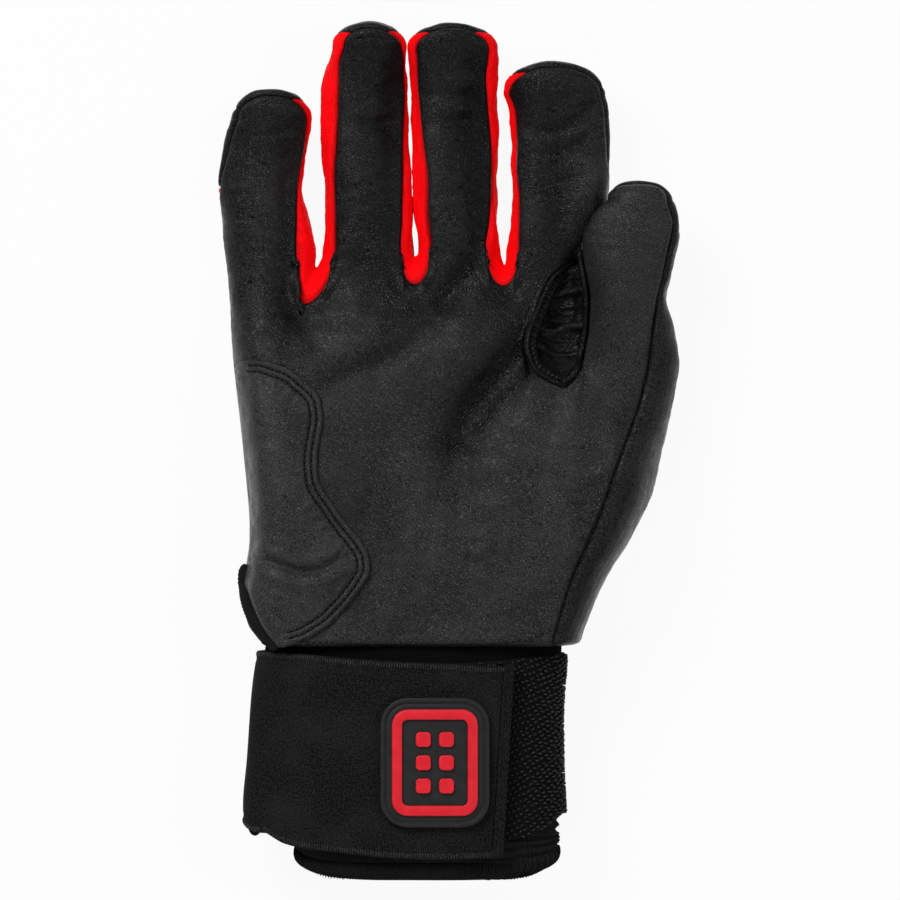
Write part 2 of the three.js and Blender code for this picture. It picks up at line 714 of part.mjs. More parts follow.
// The palm as a plain height over the table, rounded off on the little finger side.
function palmHeight(x, share) {
  const { shares } = fingers.pinky;
  const left = handWidth * along(shares, share, 1);
  const half = (handWidth * along(shares, share, 2) - left) / 2;
  const edge = palmDepth * along(edgeShares, share, 1);
  const reach = clamp((left + half - x) / half, 0, 1);
  return edge + (palmTop(x, share) - edge) * (1 - reach ** sectionPower) ** (1 / sectionPower);
}

function palmNormal(x, share) {
  const probe = handLength / 500;
  const rise = (palmHeight(x + probe, share) - palmHeight(x - probe, share)) / (2 * probe);
  const next = probe / handLength;
  const climb = (palmHeight(x, share + next) - palmHeight(x, share - next)) / (2 * probe);
  return new THREE.Vector3(-rise, -climb, 1).normalize();
}

function heelPatch() {
  const { pinky } = fingers;
  const rows = patchShares.map(([share, rightShare], i) => {
    const left = handWidth * along(pinky.shares, share, 1);
    const half = (handWidth * along(pinky.shares, share, 2) - left) / 2;
    const open = seamAngle(pinky, -1, share) / degree;
    const start = left + half * (1 - round(degree * Math.max(patchSideAngle, open + patchSeamStep)));
    const row = [];
    for (let j = 0; j <= patchAcross; j += 1) {
      const x = lerp(start, handWidth * rightShare, (j / patchAcross) ** 1.7);
      const inside = Math.sin(Math.PI * j / patchAcross) * Math.sin(Math.PI * i / (patchShares.length - 1));
      const normal = palmNormal(x, share);
      const palm = new THREE.Vector3(x, placeY(share), palmHeight(x, share));
      const seat = palm.addScaledVector(normal, patchClearance);
      const crown = patchThickness + patchCrown * inside ** 0.5;
      row.push({ outer: seat.clone().addScaledVector(normal, crown), inner: seat });
    }
    return row;
  });
  return new Sheet().grid(rows).solid();
}

addPart('palm_heel_patch', heelPatch(), blackLeather());

// Cuff and strap. The wrist is a rounded oval with rows of left and right edges as shares of the
// breadth, by place along the cuff as a share of its length. Every layer is that oval grown outwards.
const wristShares = [
  [0, -0.488, 0.292], [0.06, -0.497, 0.29], [0.236, -0.511, 0.284], [0.494, -0.524, 0.282],
  [0.687, -0.532, 0.289], [0.794, -0.529, 0.292], [0.914, -0.524, 0.295],
];
const cuffShares = [
  [-0.06, -0.489, 0.294], [0.02, -0.491, 0.291], [0.236, -0.511, 0.284], [0.494, -0.524, 0.282],
  [0.687, -0.512, 0.285], [0.794, -0.452, 0.283], [0.858, -0.424, 0.283], [0.924, -0.413, 0.284],
];
const hemShares = [[0.93, -0.416, 0.287], [0.966, -0.412, 0.282], [1, -0.39, 0.26]];
const hemSpread = (hemThickness - cuffThickness) / 2;
const strapOut = layerGap + strapThickness;
const loopOut = layerGap + loopThickness;
const hookOut = loopOut + layerGap + hookThickness;
const cuffMiddle = strapOut + cuffDepth / 2;

const placeCuff = (share) => wristY - cuffLength * share;
const curve = (value) => Math.sign(value) * Math.abs(value) ** (2 / cuffPower);

function oval(shares, share) {
  const left = handWidth * along(shares, share, 1);
  const right = handWidth * along(shares, share, 2);
  return { centre: (left + right) / 2, half: (right - left) / 2 };
}

// A point round the wrist: turn 0 is the thumb side, 90 the palm side, 180 the little finger
// side and 270 the back, where every layer is pressed flat.
function roundWrist(shares, share, turn, out) {
  const { centre, half } = oval(shares, share);
  const x = centre + (half + out) * curve(Math.cos(turn));
  const under = turn < 0 || turn > Math.PI ? pressedFlat : 0;
  const z = cuffMiddle + (cuffDepth / 2 + out + under) * curve(Math.sin(turn));
  return new THREE.Vector3(x, placeCuff(share), Math.max(z, strapOut - out));
}

// A layer between two distances outside the wrist.
const layered = (place, out, thickness) => ({ outer: place(out), inner: place(out - thickness) });

// A knitted tube round the wrist. Its foot hangs lower on the palm side than at the edges.
function knitTube(shares, out, thickness, places) {
  const rows = places.map(({ share, foot }) => {
    const row = spread(0, 2 * Math.PI, cuffTurns).slice(0, -1).map((turn) => {
      const rise = foot * cuffLength * footRiseShare * (1 - Math.abs(Math.sin(turn)) ** 0.8);
      return layered((far) => {
        const point = roundWrist(shares, share, turn, far);
        point.y += rise;
        return point;
      }, out, thickness);
    });
    return [...row, row[0]];
  });
  return new Sheet().grid(rows).solid();
}

function cuffSleeve() {
  const places = cuffShares.map(([share]) => ({ share, foot: smooth(share, 0.794, 0.924) }));
  return knitTube(cuffShares, 0, cuffThickness, places);
}

function cuffHem() {
  const places = hemShares.map(([share]) => ({ share, foot: 1 }));
  return knitTube(hemShares, hemSpread, hemThickness, places);
}

// A band round the wrist between two turns. Its lower edge may run out to another share.
function band(out, thickness, fromTurn, toTurn, fromBottomShare, bottomShare) {
  const turns = spread(fromTurn, toTurn, Math.round(Math.abs(toTurn - fromTurn) / turnStep));
  const rows = turns.map((turn) => {
    const low = lerp(fromBottomShare, bottomShare, smooth(turn, foldTurn, 180));
    return bandPlaces.map((place) => {
      const share = lerp(bandTopShare, low, place);
      return layered((far) => roundWrist(wristShares, share, turn * degree, far), out, thickness);
    });
  });
  return new Sheet().grid(rows).solid();
}

addPart('cuff_sleeve', cuffSleeve(), knit());
addPart('cuff_hem', cuffHem(), knit());
const bandPlaces = spread(0, 1, 5);
const loopPanel = band(loopOut, loopThickness, loopStartTurn, loopEndTurn, loopBottomShare, loopBottomShare);
const backEndTurn = 360 + loopEndTurn;
const strapBack = band(strapOut, strapThickness, foldTurn, backEndTurn, foldBottomShare, backBottomShare);
addPart('loop_panel', loopPanel, webbing());
addPart('strap_back', strapBack, webbing());

// A small rounded tongue sewn under the strap's lower corner at the little finger side.
function cornerTab() {
  const left = handWidth * tabAcrossShare;
  const top = placeCuff(backBottomShare) - seamGap;
  const rows = spread(-tabTurn, tabTurn, 6).map((turn) => {
    const x = left + (tabWidth / 2) * (1 + Math.sin(turn * degree));
    const deep = tabLength * Math.cos(turn * degree);
    return [0, deep].map((down) => {
      const outer = new THREE.Vector3(x, top - down, cuffMiddle + tabThickness / 2);
      const inner = new THREE.Vector3(x, top - down, cuffMiddle - tabThickness / 2);
      return { outer, inner };
    });
  });
  return new Sheet().grid(rows).solid(0);
}
addPart('strap_corner_tab', cornerTab(), webbing());

// The front of the strap is laid out in plan: top and bottom edge by place across the breadth.
const topEdgeShares = [
  [-0.479, bandTopShare], [-0.442, 0.026], [-0.375, 0.034], [-0.295, 0.047], [-0.134, 0.064], [0, 0.073],
  [0.134, 0.084], [0.174, 0.069],
];
const bottomEdgeShares = [
  [-0.493, foldBottomShare], [-0.442, 0.845], [-0.375, 0.867], [-0.295, 0.88], [-0.134, 0.906], [0, 0.91],
  [0.142, 0.901],
];
const endTopShare = 0.174;
const endBottomShare = 0.142;
const hingeShare = -0.215;
const hookStartShare = -0.19;
const loopRiseShares = [-0.47, -0.36];
const hookRiseShare = -0.32;
const hookMarginShare = 0.06;

// How far the strap's face stands off the wrist: by its own thickness at the fold, then over the
// loops, then over loops and hooks.
function strapFar(x) {
  const overLoop = smooth(x / handWidth, loopRiseShares[0], loopRiseShares[1]);
  const overHook = smooth(x / handWidth, hookRiseShare, hingeShare);
  return strapOut + loopOut * overLoop + (hookOut - loopOut) * overHook;
}

function strapHeight(x, share, raise) {
  const { centre, half } = oval(wristShares, share);
  const far = strapFar(x) + raise;
  const reach = Math.min(Math.abs(x - centre) / (half + far), 1);
  return cuffMiddle + (cuffDepth / 2 + far) * (1 - reach ** cuffPower) ** (1 / cuffPower);
}

const foldTop = roundWrist(wristShares, bandTopShare, foldTurn * degree, strapOut).x;
const foldBottom = roundWrist(wristShares, foldBottomShare, foldTurn * degree, strapOut).x;
const runOf = (share) => (handWidth * share - foldTop) / (handWidth * endTopShare - foldTop);
const hemRun = 1 - endHemWidth / (handWidth * endTopShare - foldTop);
const hingeRun = runOf(hingeShare);

// A point of the strap's face: run 0 is the fold and 1 the free end, across 0 the top edge.
function strapFace(run, across, raise) {
  const top = lerp(foldTop, handWidth * endTopShare, run);
  const bottom = lerp(foldBottom, handWidth * endBottomShare, run);
  const from = along(topEdgeShares, top / handWidth, 1);
  const share = lerp(from, along(bottomEdgeShares, bottom / handWidth, 1), across);
  if (run === 0) return roundWrist(wristShares, share, foldTurn * degree, strapOut + raise);
  const x = lerp(top, bottom, across);
  return new THREE.Vector3(x, placeCuff(share), strapHeight(x, share, raise));
}

function strapPiece(runs, acrosses, raise, thickness) {
  const rows = runs.map((run) => acrosses.map((across) =>
    layered((far) => strapFace(run, across, far), raise, thickness)));
  return new Sheet().grid(rows).solid();
}

const fullWidth = bandPlaces;
const hookWidth = spread(hookMarginShare, 1 - hookMarginShare, 3);
const hookLow = -strapThickness - layerGap;
const hookRuns = spread(runOf(hookStartShare), hemRun, 6);
const hemmedThickness = strapThickness + endHemThickness;
addPart('strap_front', strapPiece(spread(0, hingeRun, 7), fullWidth, 0, strapThickness), webbing());
addPart('strap_tip', strapPiece(spread(hingeRun, hemRun, 7), fullWidth, 0, strapThickness), webbing());
addPart('strap_end_hem', strapPiece([hemRun, 1], fullWidth, endHemThickness, hemmedThickness), webbing());
addPart('strap_hook_pad', strapPiece(hookRuns, hookWidth, hookLow, hookThickness), webbing());

// A moulded rubber badge near the strap's end: a plate, a raised frame and rows of studs, all
// bent with the strap.
const badgeX = handWidth * badgeAcrossShare;
const badgeY = placeCuff(badgeAlongShare);

function onStrap(x, y, out, thickness) {
  const place = (far) => new THREE.Vector3(x, y, strapHeight(x, (wristY - y) / cuffLength, far));
  return layered(place, out, thickness);
}

// The right half of a rounded rectangle's outline, from its middle to its end: places across.
function cornerPlaces(width, corner, steps) {
  const straight = spread(0, width / 2 - corner, steps);
  return [...straight, ...[30, 60, 90].map((turn) => width / 2 - corner + corner * Math.sin(turn * degree))];
}

function halfHeight(x, width, height, corner) {
  const past = Math.max(Math.abs(x) - (width / 2 - corner), 0);
  return height / 2 - corner + Math.sqrt(Math.max(corner * corner - past * past, 0));
}

function roundedPlate([x0, y0], [width, height, corner], out, thickness, steps) {
  const right = cornerPlaces(width, corner, steps);
  const places = [...right.slice(1).reverse().map((x) => -x), ...right];
  const rows = places.map((x) => {
    const half = halfHeight(x, width, height, corner);
    return spread(-half, half, steps).map((y) => onStrap(x0 + x, y0 + y, out, thickness));
  });
  return new Sheet().grid(rows).solid();
}

// A rounded rectangle's outline as a loop of points, with the same count whatever its size.
function roundedLoop(width, height, corner) {
  const points = [];
  const ends = [[1, 1], [-1, 1], [-1, -1], [1, -1]];
  ends.forEach(([sideX, sideY], k) => {
    const start = k * quarterTurn;
    const arc = spread(start, start + quarterTurn, 3).map((turn) => [
      sideX * (width / 2 - corner) + corner * Math.cos(turn * degree),
      sideY * (height / 2 - corner) + corner * Math.sin(turn * degree),
    ]);
    const [nextX, nextY] = ends[(k + 1) % ends.length];
    const nextStart = start + quarterTurn;
    const from = arc[arc.length - 1];
    const to = [
      nextX * (width / 2 - corner) + corner * Math.cos(nextStart * degree),
      nextY * (height / 2 - corner) + corner * Math.sin(nextStart * degree),
    ];
    const between = spread(0, 1, 5).slice(1, -1);
    points.push(...arc, ...between.map((t) => [lerp(from[0], to[0], t), lerp(from[1], to[1], t)]));
  });
  return [...points, points[0]];
}

function badgeFrame() {
  const rings = [frameInset, frameInset + frameWidth].map((inset) =>
    roundedLoop(badgeWidth - 2 * inset, badgeHeight - 2 * inset, Math.max(badgeCorner - inset, studCorner)));
  const onPlate = ([x, y]) => onStrap(badgeX + x, badgeY + y, frameOut, frameHeight);
  const rows = rings.map((ring) => ring.map(onPlate));
  return new Sheet().grid(rows).solid(0);
}

const plateOut = layerGap + badgeThickness;
const frameOut = plateOut + layerGap + frameHeight;
const studOut = plateOut + layerGap + studHeight;
const badgeSize = [badgeWidth, badgeHeight, badgeCorner];
const plate = roundedPlate([badgeX, badgeY], badgeSize, plateOut, badgeThickness, plateSteps);
addPart('badge_plate', plate, blackRubber());
addPart('badge_frame', badgeFrame(), redRubber());
for (let k = 0; k < studColumns * studRows; k += 1) {
  const x = badgeX + studPitch * ((k % studColumns) - (studColumns - 1) / 2);
  const y = badgeY - studPitch * (Math.floor(k / studColumns) - (studRows - 1) / 2);
  const stud = roundedPlate([x, y], [studSide, studSide, studCorner], studOut, studHeight, studSteps);
  addPart(`badge_stud_${k + 1}`, stud, redRubber());
}

export default glove;
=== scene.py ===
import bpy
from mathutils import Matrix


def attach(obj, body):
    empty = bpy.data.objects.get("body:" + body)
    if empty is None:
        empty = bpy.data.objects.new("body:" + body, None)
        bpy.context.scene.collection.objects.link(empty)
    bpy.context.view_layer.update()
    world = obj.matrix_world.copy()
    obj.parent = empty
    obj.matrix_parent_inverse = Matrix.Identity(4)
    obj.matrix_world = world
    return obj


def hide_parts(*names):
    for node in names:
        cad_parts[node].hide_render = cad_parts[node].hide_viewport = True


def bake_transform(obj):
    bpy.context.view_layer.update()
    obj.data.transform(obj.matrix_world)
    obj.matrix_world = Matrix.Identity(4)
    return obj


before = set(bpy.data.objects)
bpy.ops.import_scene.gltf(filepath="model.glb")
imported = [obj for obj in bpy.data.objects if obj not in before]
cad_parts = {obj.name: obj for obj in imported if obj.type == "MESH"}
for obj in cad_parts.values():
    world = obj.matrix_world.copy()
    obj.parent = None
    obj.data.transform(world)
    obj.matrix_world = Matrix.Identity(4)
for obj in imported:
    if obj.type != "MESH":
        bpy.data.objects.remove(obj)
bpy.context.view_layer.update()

import math

import bpy
import numpy as np
from mathutils import Vector
from mathutils.bvhtree import BVHTree

# Sizes of the glove, in millimetres, as in the frame
MM, DEGREE = 0.001, math.pi / 180
PIXEL, IMAGE = 0.295, 900
LENGTH, BREADTH, PALM_DEPTH = 184, 110, 30
FINGER_DEPTH, THUMB_DEPTH = 19, 21
TIP_CURL, THUMB_RISE = 7, 13
LEATHER, SECTION_POWER = 1.1, 2.3
CUFF_LENGTH, CUFF_THICKNESS, CUFF_DEPTH, CUFF_POWER = 68.7, 1.6, 30, 2.8
HEM_THICKNESS, STRAP_THICKNESS, LOOP_THICKNESS, HOOK_THICKNESS = 2.6, 2.2, 1.7, 1
END_HEM_WIDTH, LAYER_GAP = 3.2, 0.3
BADGE_SIZE, BADGE_THICKNESS = (32, 38, 8), 1.8
FRAME_INSET, FRAME_WIDTH = 3.4, 3
STUD_SIZE, STUD_PITCH = (4.4, 4.4, 1.2), 6.8
WRIST_Y = CUFF_LENGTH - (LENGTH + CUFF_LENGTH) / 2

# Mesh steps
ACROSS, WEB_STEPS, SIDE_STEPS = 30, 14, 10
PALM_STEPS, ROOT_STEPS, FREE_STEPS = 76, 30, 50
RINGS, RIM_STEPS = 12, 10
ROOT_ROW = PALM_STEPS + ROOT_STEPS
LAST_ROW = ROOT_ROW + FREE_STEPS


# Numbers, lines and curves
def table(text, columns, scale=1000):
    """Rows of numbers from text, written in thousandths."""
    return np.array(text.split(), float).reshape(-1, columns) / scale


def along(rows, place, column=1):
    """A smooth monotone curve through rows of shares."""
    rows = np.asarray(rows, float)
    x, y = rows[:, 0], rows[:, column]
    slope = np.diff(y) / np.diff(x)
    tangent = np.concatenate([slope[:1], np.zeros(len(x) - 2), slope[-1:]])
    same = slope[:-1] * slope[1:] > 0
    total = np.where(same, slope[:-1] + slope[1:], 1)
    tangent[1:-1] = np.where(same, 2 * slope[:-1] * slope[1:] / total, 0)
    place = np.clip(place, x[0], x[-1])
    k = np.clip(np.searchsorted(x, place, side="right") - 1, 0, len(x) - 2)
    step = x[k + 1] - x[k]
    t = (place - x[k]) / step
    bend = 3 * t ** 2 - 2 * t ** 3
    leaving = (t ** 3 - 2 * t ** 2 + t) * step * tangent[k]
    arriving = (t ** 3 - t ** 2) * step * tangent[k + 1]
    return y[k] * (1 - bend) + y[k + 1] * bend + leaving + arriving


def lerp(a, b, t):
    return a + (b - a) * t


def crowded(steps, share=0.55):
    """Places from 0 to 1 that crowd towards both ends, where the seams are."""
    t = np.linspace(0, 1, steps + 1)
    return lerp(t, (1 - np.cos(np.pi * t)) / 2, share)


def smooth(x, low, high):
    t = np.clip((x - low) / (high - low), 0, 1)
    return t * t * (3 - 2 * t)


def bell(distance, width):
    return np.exp(-(distance / width) ** 2)


def stack(x, y, z):
    return np.stack(np.broadcast_arrays(x, y, z), -1).astype(float)


def unit(vectors):
    return vectors / np.maximum(np.linalg.norm(vectors, axis=-1, keepdims=True), 1e-9)


def run_along(line):
    """Distance from a line's start at each of its points."""
    return np.concatenate([[0], np.cumsum(np.linalg.norm(np.diff(line, axis=0), axis=1))])


def pixels(*places):
    """Plan points in millimetres from pixels of the photograph."""
    return [((x - IMAGE / 2) * PIXEL, (IMAGE / 2 - y) * PIXEL) for x, y in places]


def lines_of(text):
    """Lines in plan with a height and a width, from rows of height, width and pixels of the photograph."""
    for row in text.strip().splitlines():
        height, width, *places = map(float, row.split())
        yield pixels(*zip(places[::2], places[1::2])), height, width


def line_distance(points, line):
    """Distance in plan from every point to a line, and the place along it."""
    best, where = np.full(len(points), 1e9), np.zeros(len(points))
    line = np.asarray(line, float)
    run = run_along(line)
    for k, (a, b) in enumerate(zip(line[:-1], line[1:])):
        d = b - a
        t = np.clip(((points[:, :2] - a) @ d) / (d @ d), 0, 1)
        distance = np.linalg.norm(points[:, :2] - a - t[:, None] * d, axis=1)
        closer = distance < best
        best[closer] = distance[closer]
        where[closer] = ((run[k] + t * (run[k + 1] - run[k])) / run[-1])[closer]
    return best, where


def evenly(line, pitch, start=0.0):
    """Points at an even pitch along a line, and the line's direction there."""
    line = np.asarray(line, float)
    run = run_along(line)
    at = np.arange(start, run[-1], pitch)
    place, ahead, behind = (np.stack([np.interp(at + shift, run, column) for column in line.T], -1)
                            for shift in (0, pitch / 4, -pitch / 4))
    return place, unit(ahead - behind)


def rounded_line(line, times=3):
    """A line with its corners cut round."""
    line = np.asarray(line, float)
    for _ in range(times):
        cut = np.empty((2 * len(line) - 2, line.shape[1]))
        cut[0::2] = lerp(line[:-1], line[1:], 0.25)
        cut[1::2] = lerp(line[:-1], line[1:], 0.75)
        line = np.concatenate([line[:1], cut, line[-1:]])
    return line


def swell(points, length, seed, stretch=(1, 1, 1)):
    """A smooth random height of about unit size, with waves of a given length."""
    rng = np.random.default_rng(seed)
    scaled = points / np.array(stretch)
    total = np.zeros(len(points))
    for _ in range(14):
        way = rng.normal(size=3)
        way *= 2 * math.pi / (length * rng.uniform(0.7, 1.5) * np.linalg.norm(way))
        total += np.sin(scaled @ way + rng.uniform(0, 2 * math.pi))
    return total / 2.65


# Faces of grids and sheets
def cells_of(rows, columns, start=0, closed=False):
    """The faces of a grid of points; a closed one also joins its last column to its first."""
    index = np.arange(rows * columns).reshape(rows, columns) + start
    here, after = (index, np.roll(index, -1, 1)) if closed else (index[:, :-1], index[:, 1:])
    return np.stack([here[:-1], after[:-1], after[1:], here[1:]], -1).reshape(-1, 4)


class Sheet:
    """Grids of points that merge where they meet."""

    def __init__(self):
        self.points, self.cells, self.count = [], [], 0

    def grid(self, points, flip=False):
        rows, columns = points.shape[:2]
        cells = cells_of(rows, columns, self.count)
        self.cells.append(cells[:, ::-1] if flip else cells)
        self.points.append(points.reshape(-1, 3))
        self.count += rows * columns
        return self

    def merged(self):
        points = np.concatenate(self.points)
        _, first, inverse = np.unique(np.round(points, 3), axis=0, return_index=True, return_inverse=True)
        faces = []
        for cell in inverse.reshape(-1)[np.concatenate(self.cells)].tolist():
            face = [k for i, k in enumerate(cell) if k != cell[i - 1]]
            if len(set(face)) == len(face) > 2:
                faces.append(face)
        return points[first], faces


def quads_of(faces):
    return np.array([face if len(face) == 4 else face + face[-1:] for face in faces])


def face_sums(points, faces):
    """Area normal of every face, and its centre."""
    p = points[quads_of(faces)]
    return np.cross(p[:, 2] - p[:, 0], p[:, 3] - p[:, 1]), p.mean(1)


def normals_of(points, faces):
    area, _ = face_sums(points, faces)
    total = np.zeros_like(points)
    for corner in quads_of(faces).T:
        np.add.at(total, corner, area)
    return unit(total)


def turned(points, faces, aim, away=True):
    """The faces, turned so that they look away from a point or towards it."""
    area, centre = face_sums(points, faces)
    outward = np.sum(area * (centre - np.array(aim, float))) * (1 if away else -1)
    return faces if outward > 0 else [face[::-1] for face in faces]


def rim_of(faces):
    """The points on open edges."""
    used = {}
    for face in faces:
        for i, k in enumerate(face):
            edge = (min(k, face[i - 1]), max(k, face[i - 1]))
            used[edge] = used.get(edge, 0) + 1
    return np.unique([edge for edge, times in used.items() if times == 1])


def nearest(points, targets):
    """Distance of every point from the nearest target."""
    result = np.empty(len(points))
    for i in range(0, len(points), 4000):
        part = points[i:i + 4000, None] - targets[None]
        result[i:i + 4000] = np.sqrt((part ** 2).sum(-1).min(1))
    return result


# The pattern of the hand
class Finger:
    """A finger's root, start of the round tip, tip and how it is sewn, and rows in thousandths: place along, left and
    right silhouette across, and the left and right seam's angle in degrees."""

    def __init__(self, name, root, cap, tip, tip_angle, depth, outer, direct, direct_from, rows):
        self.name, self.root, self.cap, self.tip = name, root, cap, tip
        self.tip_angle, self.depth, self.outer = tip_angle * DEGREE, depth, outer
        self.direct, self.direct_from = direct, direct_from
        self.shares = table(rows, 5, [1000, 1000, 1000, 1, 1])


PINKY = Finger("pinky", 0.624, 0.845, 0.893, 40, 0.9, -1, -1, 0.128, """
0 -504 -316 60 47  40 -547 -322 51 45  80 -560 -324 38 46  128 -544 -327 -10 50  176 -534 -333 -10 54
313 -552 -343 -10 53  457 -579 -354 -10 55  553 -593 -354 -10 57  624 -603 -362 -10 56  689 -613 -383 -10 41
738 -622 -394 15 27  802 -610 -381 32 21  845 -587 -375 34 22""")
RING = Finger("ring", 0.633, 0.957, 1, 40, 0.97, 0, 0, 0, """
0 -306 -123 43 43  176 -327 -113 44 44  313 -338 -107 42 42  457 -359 -102 40 44  553 -354 -91 35 44
633 -341 -97 43 45  689 -334 -102 39 40  746 -341 -105 42 35  826 -349 -113 54 23  882 -345 -114 54 16
938 -327 -118 47 17  957 -319 -118 50 25""")
MIDDLE = Finger("middle", 0.641, 0.954, 1, 38, 1, 0, 0, 0, """
0 -118 32 47 47  176 -113 64 49 49  313 -107 91 46 46  457 -102 123 43 47  553 -91 139 42 47  641 -87 137 48 51
689 -94 129 48 36  746 -98 126 50 27  794 -101 129 45 31  842 -103 131 38 38  906 -107 134 32 47  935 -113 133 37 43
954 -113 126 35 35""")
INDEX = Finger("index", 0.633, 0.882, 0.938, 36, 1.02, 0, 1, 0.634, """
0 38 166 53 47  176 64 200 53 58  313 91 241 53 63  457 118 255 66 71  481 123 249 69 77  553 139 284 59 67
593 147 311 53 58  633 153 354 46 -10  673 161 389 38 -10  722 164 425 33 -10  770 164 428 26 15  802 164 429 28 21
855 158 424 28 21  882 142 416 27 21""")
THUMB = Finger("thumb", 0.633, 0.713, 0.744, 36, 1, 1, -1, 0.634, """
0 196 341 49 89  88 193 402 49 83  176 241 491 45 87  249 274 547 46 86  313 295 569 46 80  409 322 605 38 71
457 351 619 17 72  505 370 603 13 64  553 373 582 14 45  593 366 595 10 40  633 358 611 -10 40  653 358 617 -10 38
678 375 614 -10 32  702 402 603 -10 36  713 424 595 -10 35""")
FOUR = [PINKY, RING, MIDDLE, INDEX]

# Webs: left finger, right finger, reach of the seam and of the bare fold below the roots
WEBS = [(PINKY, RING, 0.077, 0.018), (RING, MIDDLE, 0.056, 0.008), (MIDDLE, INDEX, 0.058, 0.026)]
THUMB_WEB = (INDEX, THUMB, 0.044, 0.006)
CROTCH = (INDEX, THUMB, 0.012, 0.006)
WEB_LIFT = 1.4

PALM_SHARES = table("0 1150 128 1080 313 1000 457 870 633 660", 2)
PAD_SHARES = table("250 -420 140 160 70 300 400 170 200 160 330 -40 150 240 -120 500 20 70 420 50", 5)
EDGE_SHARES = table("0 500 200 420 457 360 633 320", 2)
SEAM_ROW = 0.457
BACK_SEAM, DIRECT_SEAM = 40 * DEGREE, 10 * DEGREE
FLEX_ROW, TIP_ROW = (ROOT_ROW + round(share * FREE_STEPS) for share in (0.34, 0.5))
TAPER_SHARES = table("500 0 660 60 830 160 1000 280", 2)
CAP_TAPER_SHARES = [(0, 0.28), (1 / 6, 0.4), (1 / 4, 0.6), (1 / 3, 1)]
U = crowded(ACROSS)


def span(rows, share):
    """Middle and half width, in millimetres, from rows of a left and a right share of the breadth."""
    left, right = BREADTH * along(rows, share, 1), BREADTH * along(rows, share, 2)
    return (left + right) / 2, (right - left) / 2


def bulge(reach, power=SECTION_POWER):
    """Height of a rounded section over a reach from its middle."""
    return (1 - np.minimum(reach, 1) ** power) ** (1 / power)


def round_x(angle):
    return np.maximum(np.cos(angle), 0) ** (2 / SECTION_POWER)


def lift(angle):
    return np.sign(angle) * np.abs(np.sin(angle)) ** (2 / SECTION_POWER)


def place_y(share):
    return WRIST_Y + LENGTH * share


def share_of(y):
    return (y - WRIST_Y) / LENGTH


def palm_top(x, share):
    height = along(PALM_SHARES, share)
    for place, across, reach, wide, rise in PAD_SHARES:
        a = (share - place) / reach
        b = (x / BREADTH - across) / wide
        height = height + rise * np.exp(-a * a - b * b)
    return PALM_DEPTH * height


def freedom(finger, share):
    if finger is THUMB:
        return smooth(share, 0.28, 0.52)
    return smooth(share, SEAM_ROW, finger.root)


def tube(finger, share):
    """Centre height and half depth of a finger's own tube."""
    if finger is THUMB:
        up = smooth(share, 0.3, finger.cap)
        half = THUMB_DEPTH / 2 * lerp(1.15, 0.95, up)
        return half + THUMB_RISE * up, half
    half = FINGER_DEPTH / 2 * finger.depth
    start = lerp(finger.root, finger.cap, 0.6)
    bend = np.clip((share - start) / (finger.tip - start), 0, 1)
    return half + TIP_CURL * bend ** 1.8, half


def side_point(finger, side, share, angle):
    centre, half_width = span(finger.shares, share)
    x = centre + side * half_width * round_x(angle)
    middle, half = tube(finger, share)
    edge = PALM_DEPTH * along(EDGE_SHARES, share)
    factor = lift(angle) if finger.outer == side else np.sign(angle)
    room = np.where(angle > 0, palm_top(x, share) - edge, edge)
    own = middle + half * lift(angle)
    return stack(x, place_y(share), lerp(edge + room * factor, own, freedom(finger, share)))


def seam(finger, side, share, front):
    """Angle of the front (1) or back (-1) seam on a finger's side."""
    share = np.asarray(share, float)
    ahead = DEGREE * along(finger.shares, share, 3 if side < 0 else 4)
    if front > 0:
        return ahead
    if finger.direct != side:
        return np.full(share.shape, -BACK_SEAM)
    free = 1 if finger is PINKY else smooth(share, SEAM_ROW, finger.root) ** 4
    low = -lerp(BACK_SEAM, DIRECT_SEAM, free) * np.ones(share.shape)
    return np.where(share > finger.direct_from, ahead, low)


def shares_of(finger):
    return np.concatenate([np.linspace(0, SEAM_ROW, PALM_STEPS + 1),
                           np.linspace(SEAM_ROW, finger.root, ROOT_STEPS + 1)[1:],
                           np.linspace(finger.root, finger.cap, FREE_STEPS + 1)[1:]])


def panel(finger, shares, front):
    """Rows of a panel across a finger, front 1 or back -1."""
    points = np.empty((len(shares), ACROSS + 1, 3))
    for side, chosen in ((-1, U <= 0.5), (1, U > 0.5)):
        inward = 1 - np.abs(2 * U[chosen] - 1)
        angle = lerp(seam(finger, side, shares, front)[:, None], front * math.pi / 2, inward)
        points[:, chosen] = side_point(finger, side, shares[:, None], angle)
    return points


def cap_size(finger):
    return *span(finger.shares, finger.cap), LENGTH * (finger.tip - finger.cap)


def rim_angle(finger, turn, front):
    left, right = (seam(finger, side, finger.cap, front) for side in (-1, 1))
    level = lerp(left, right, (1 + np.cos(turn)) / 2)
    return lerp(level, finger.tip_angle if front > 0 else -BACK_SEAM, np.sin(turn) ** 2)


def rim_point(finger, turn, angle):
    centre, half, length = cap_size(finger)
    reach = round_x(angle)
    y = place_y(finger.cap) + length * reach * np.sin(turn)
    middle, depth = tube(finger, share_of(y))
    return stack(centre + half * reach * np.cos(turn), y, middle + np.where(angle < 0, -1, 1) * depth * bulge(reach))


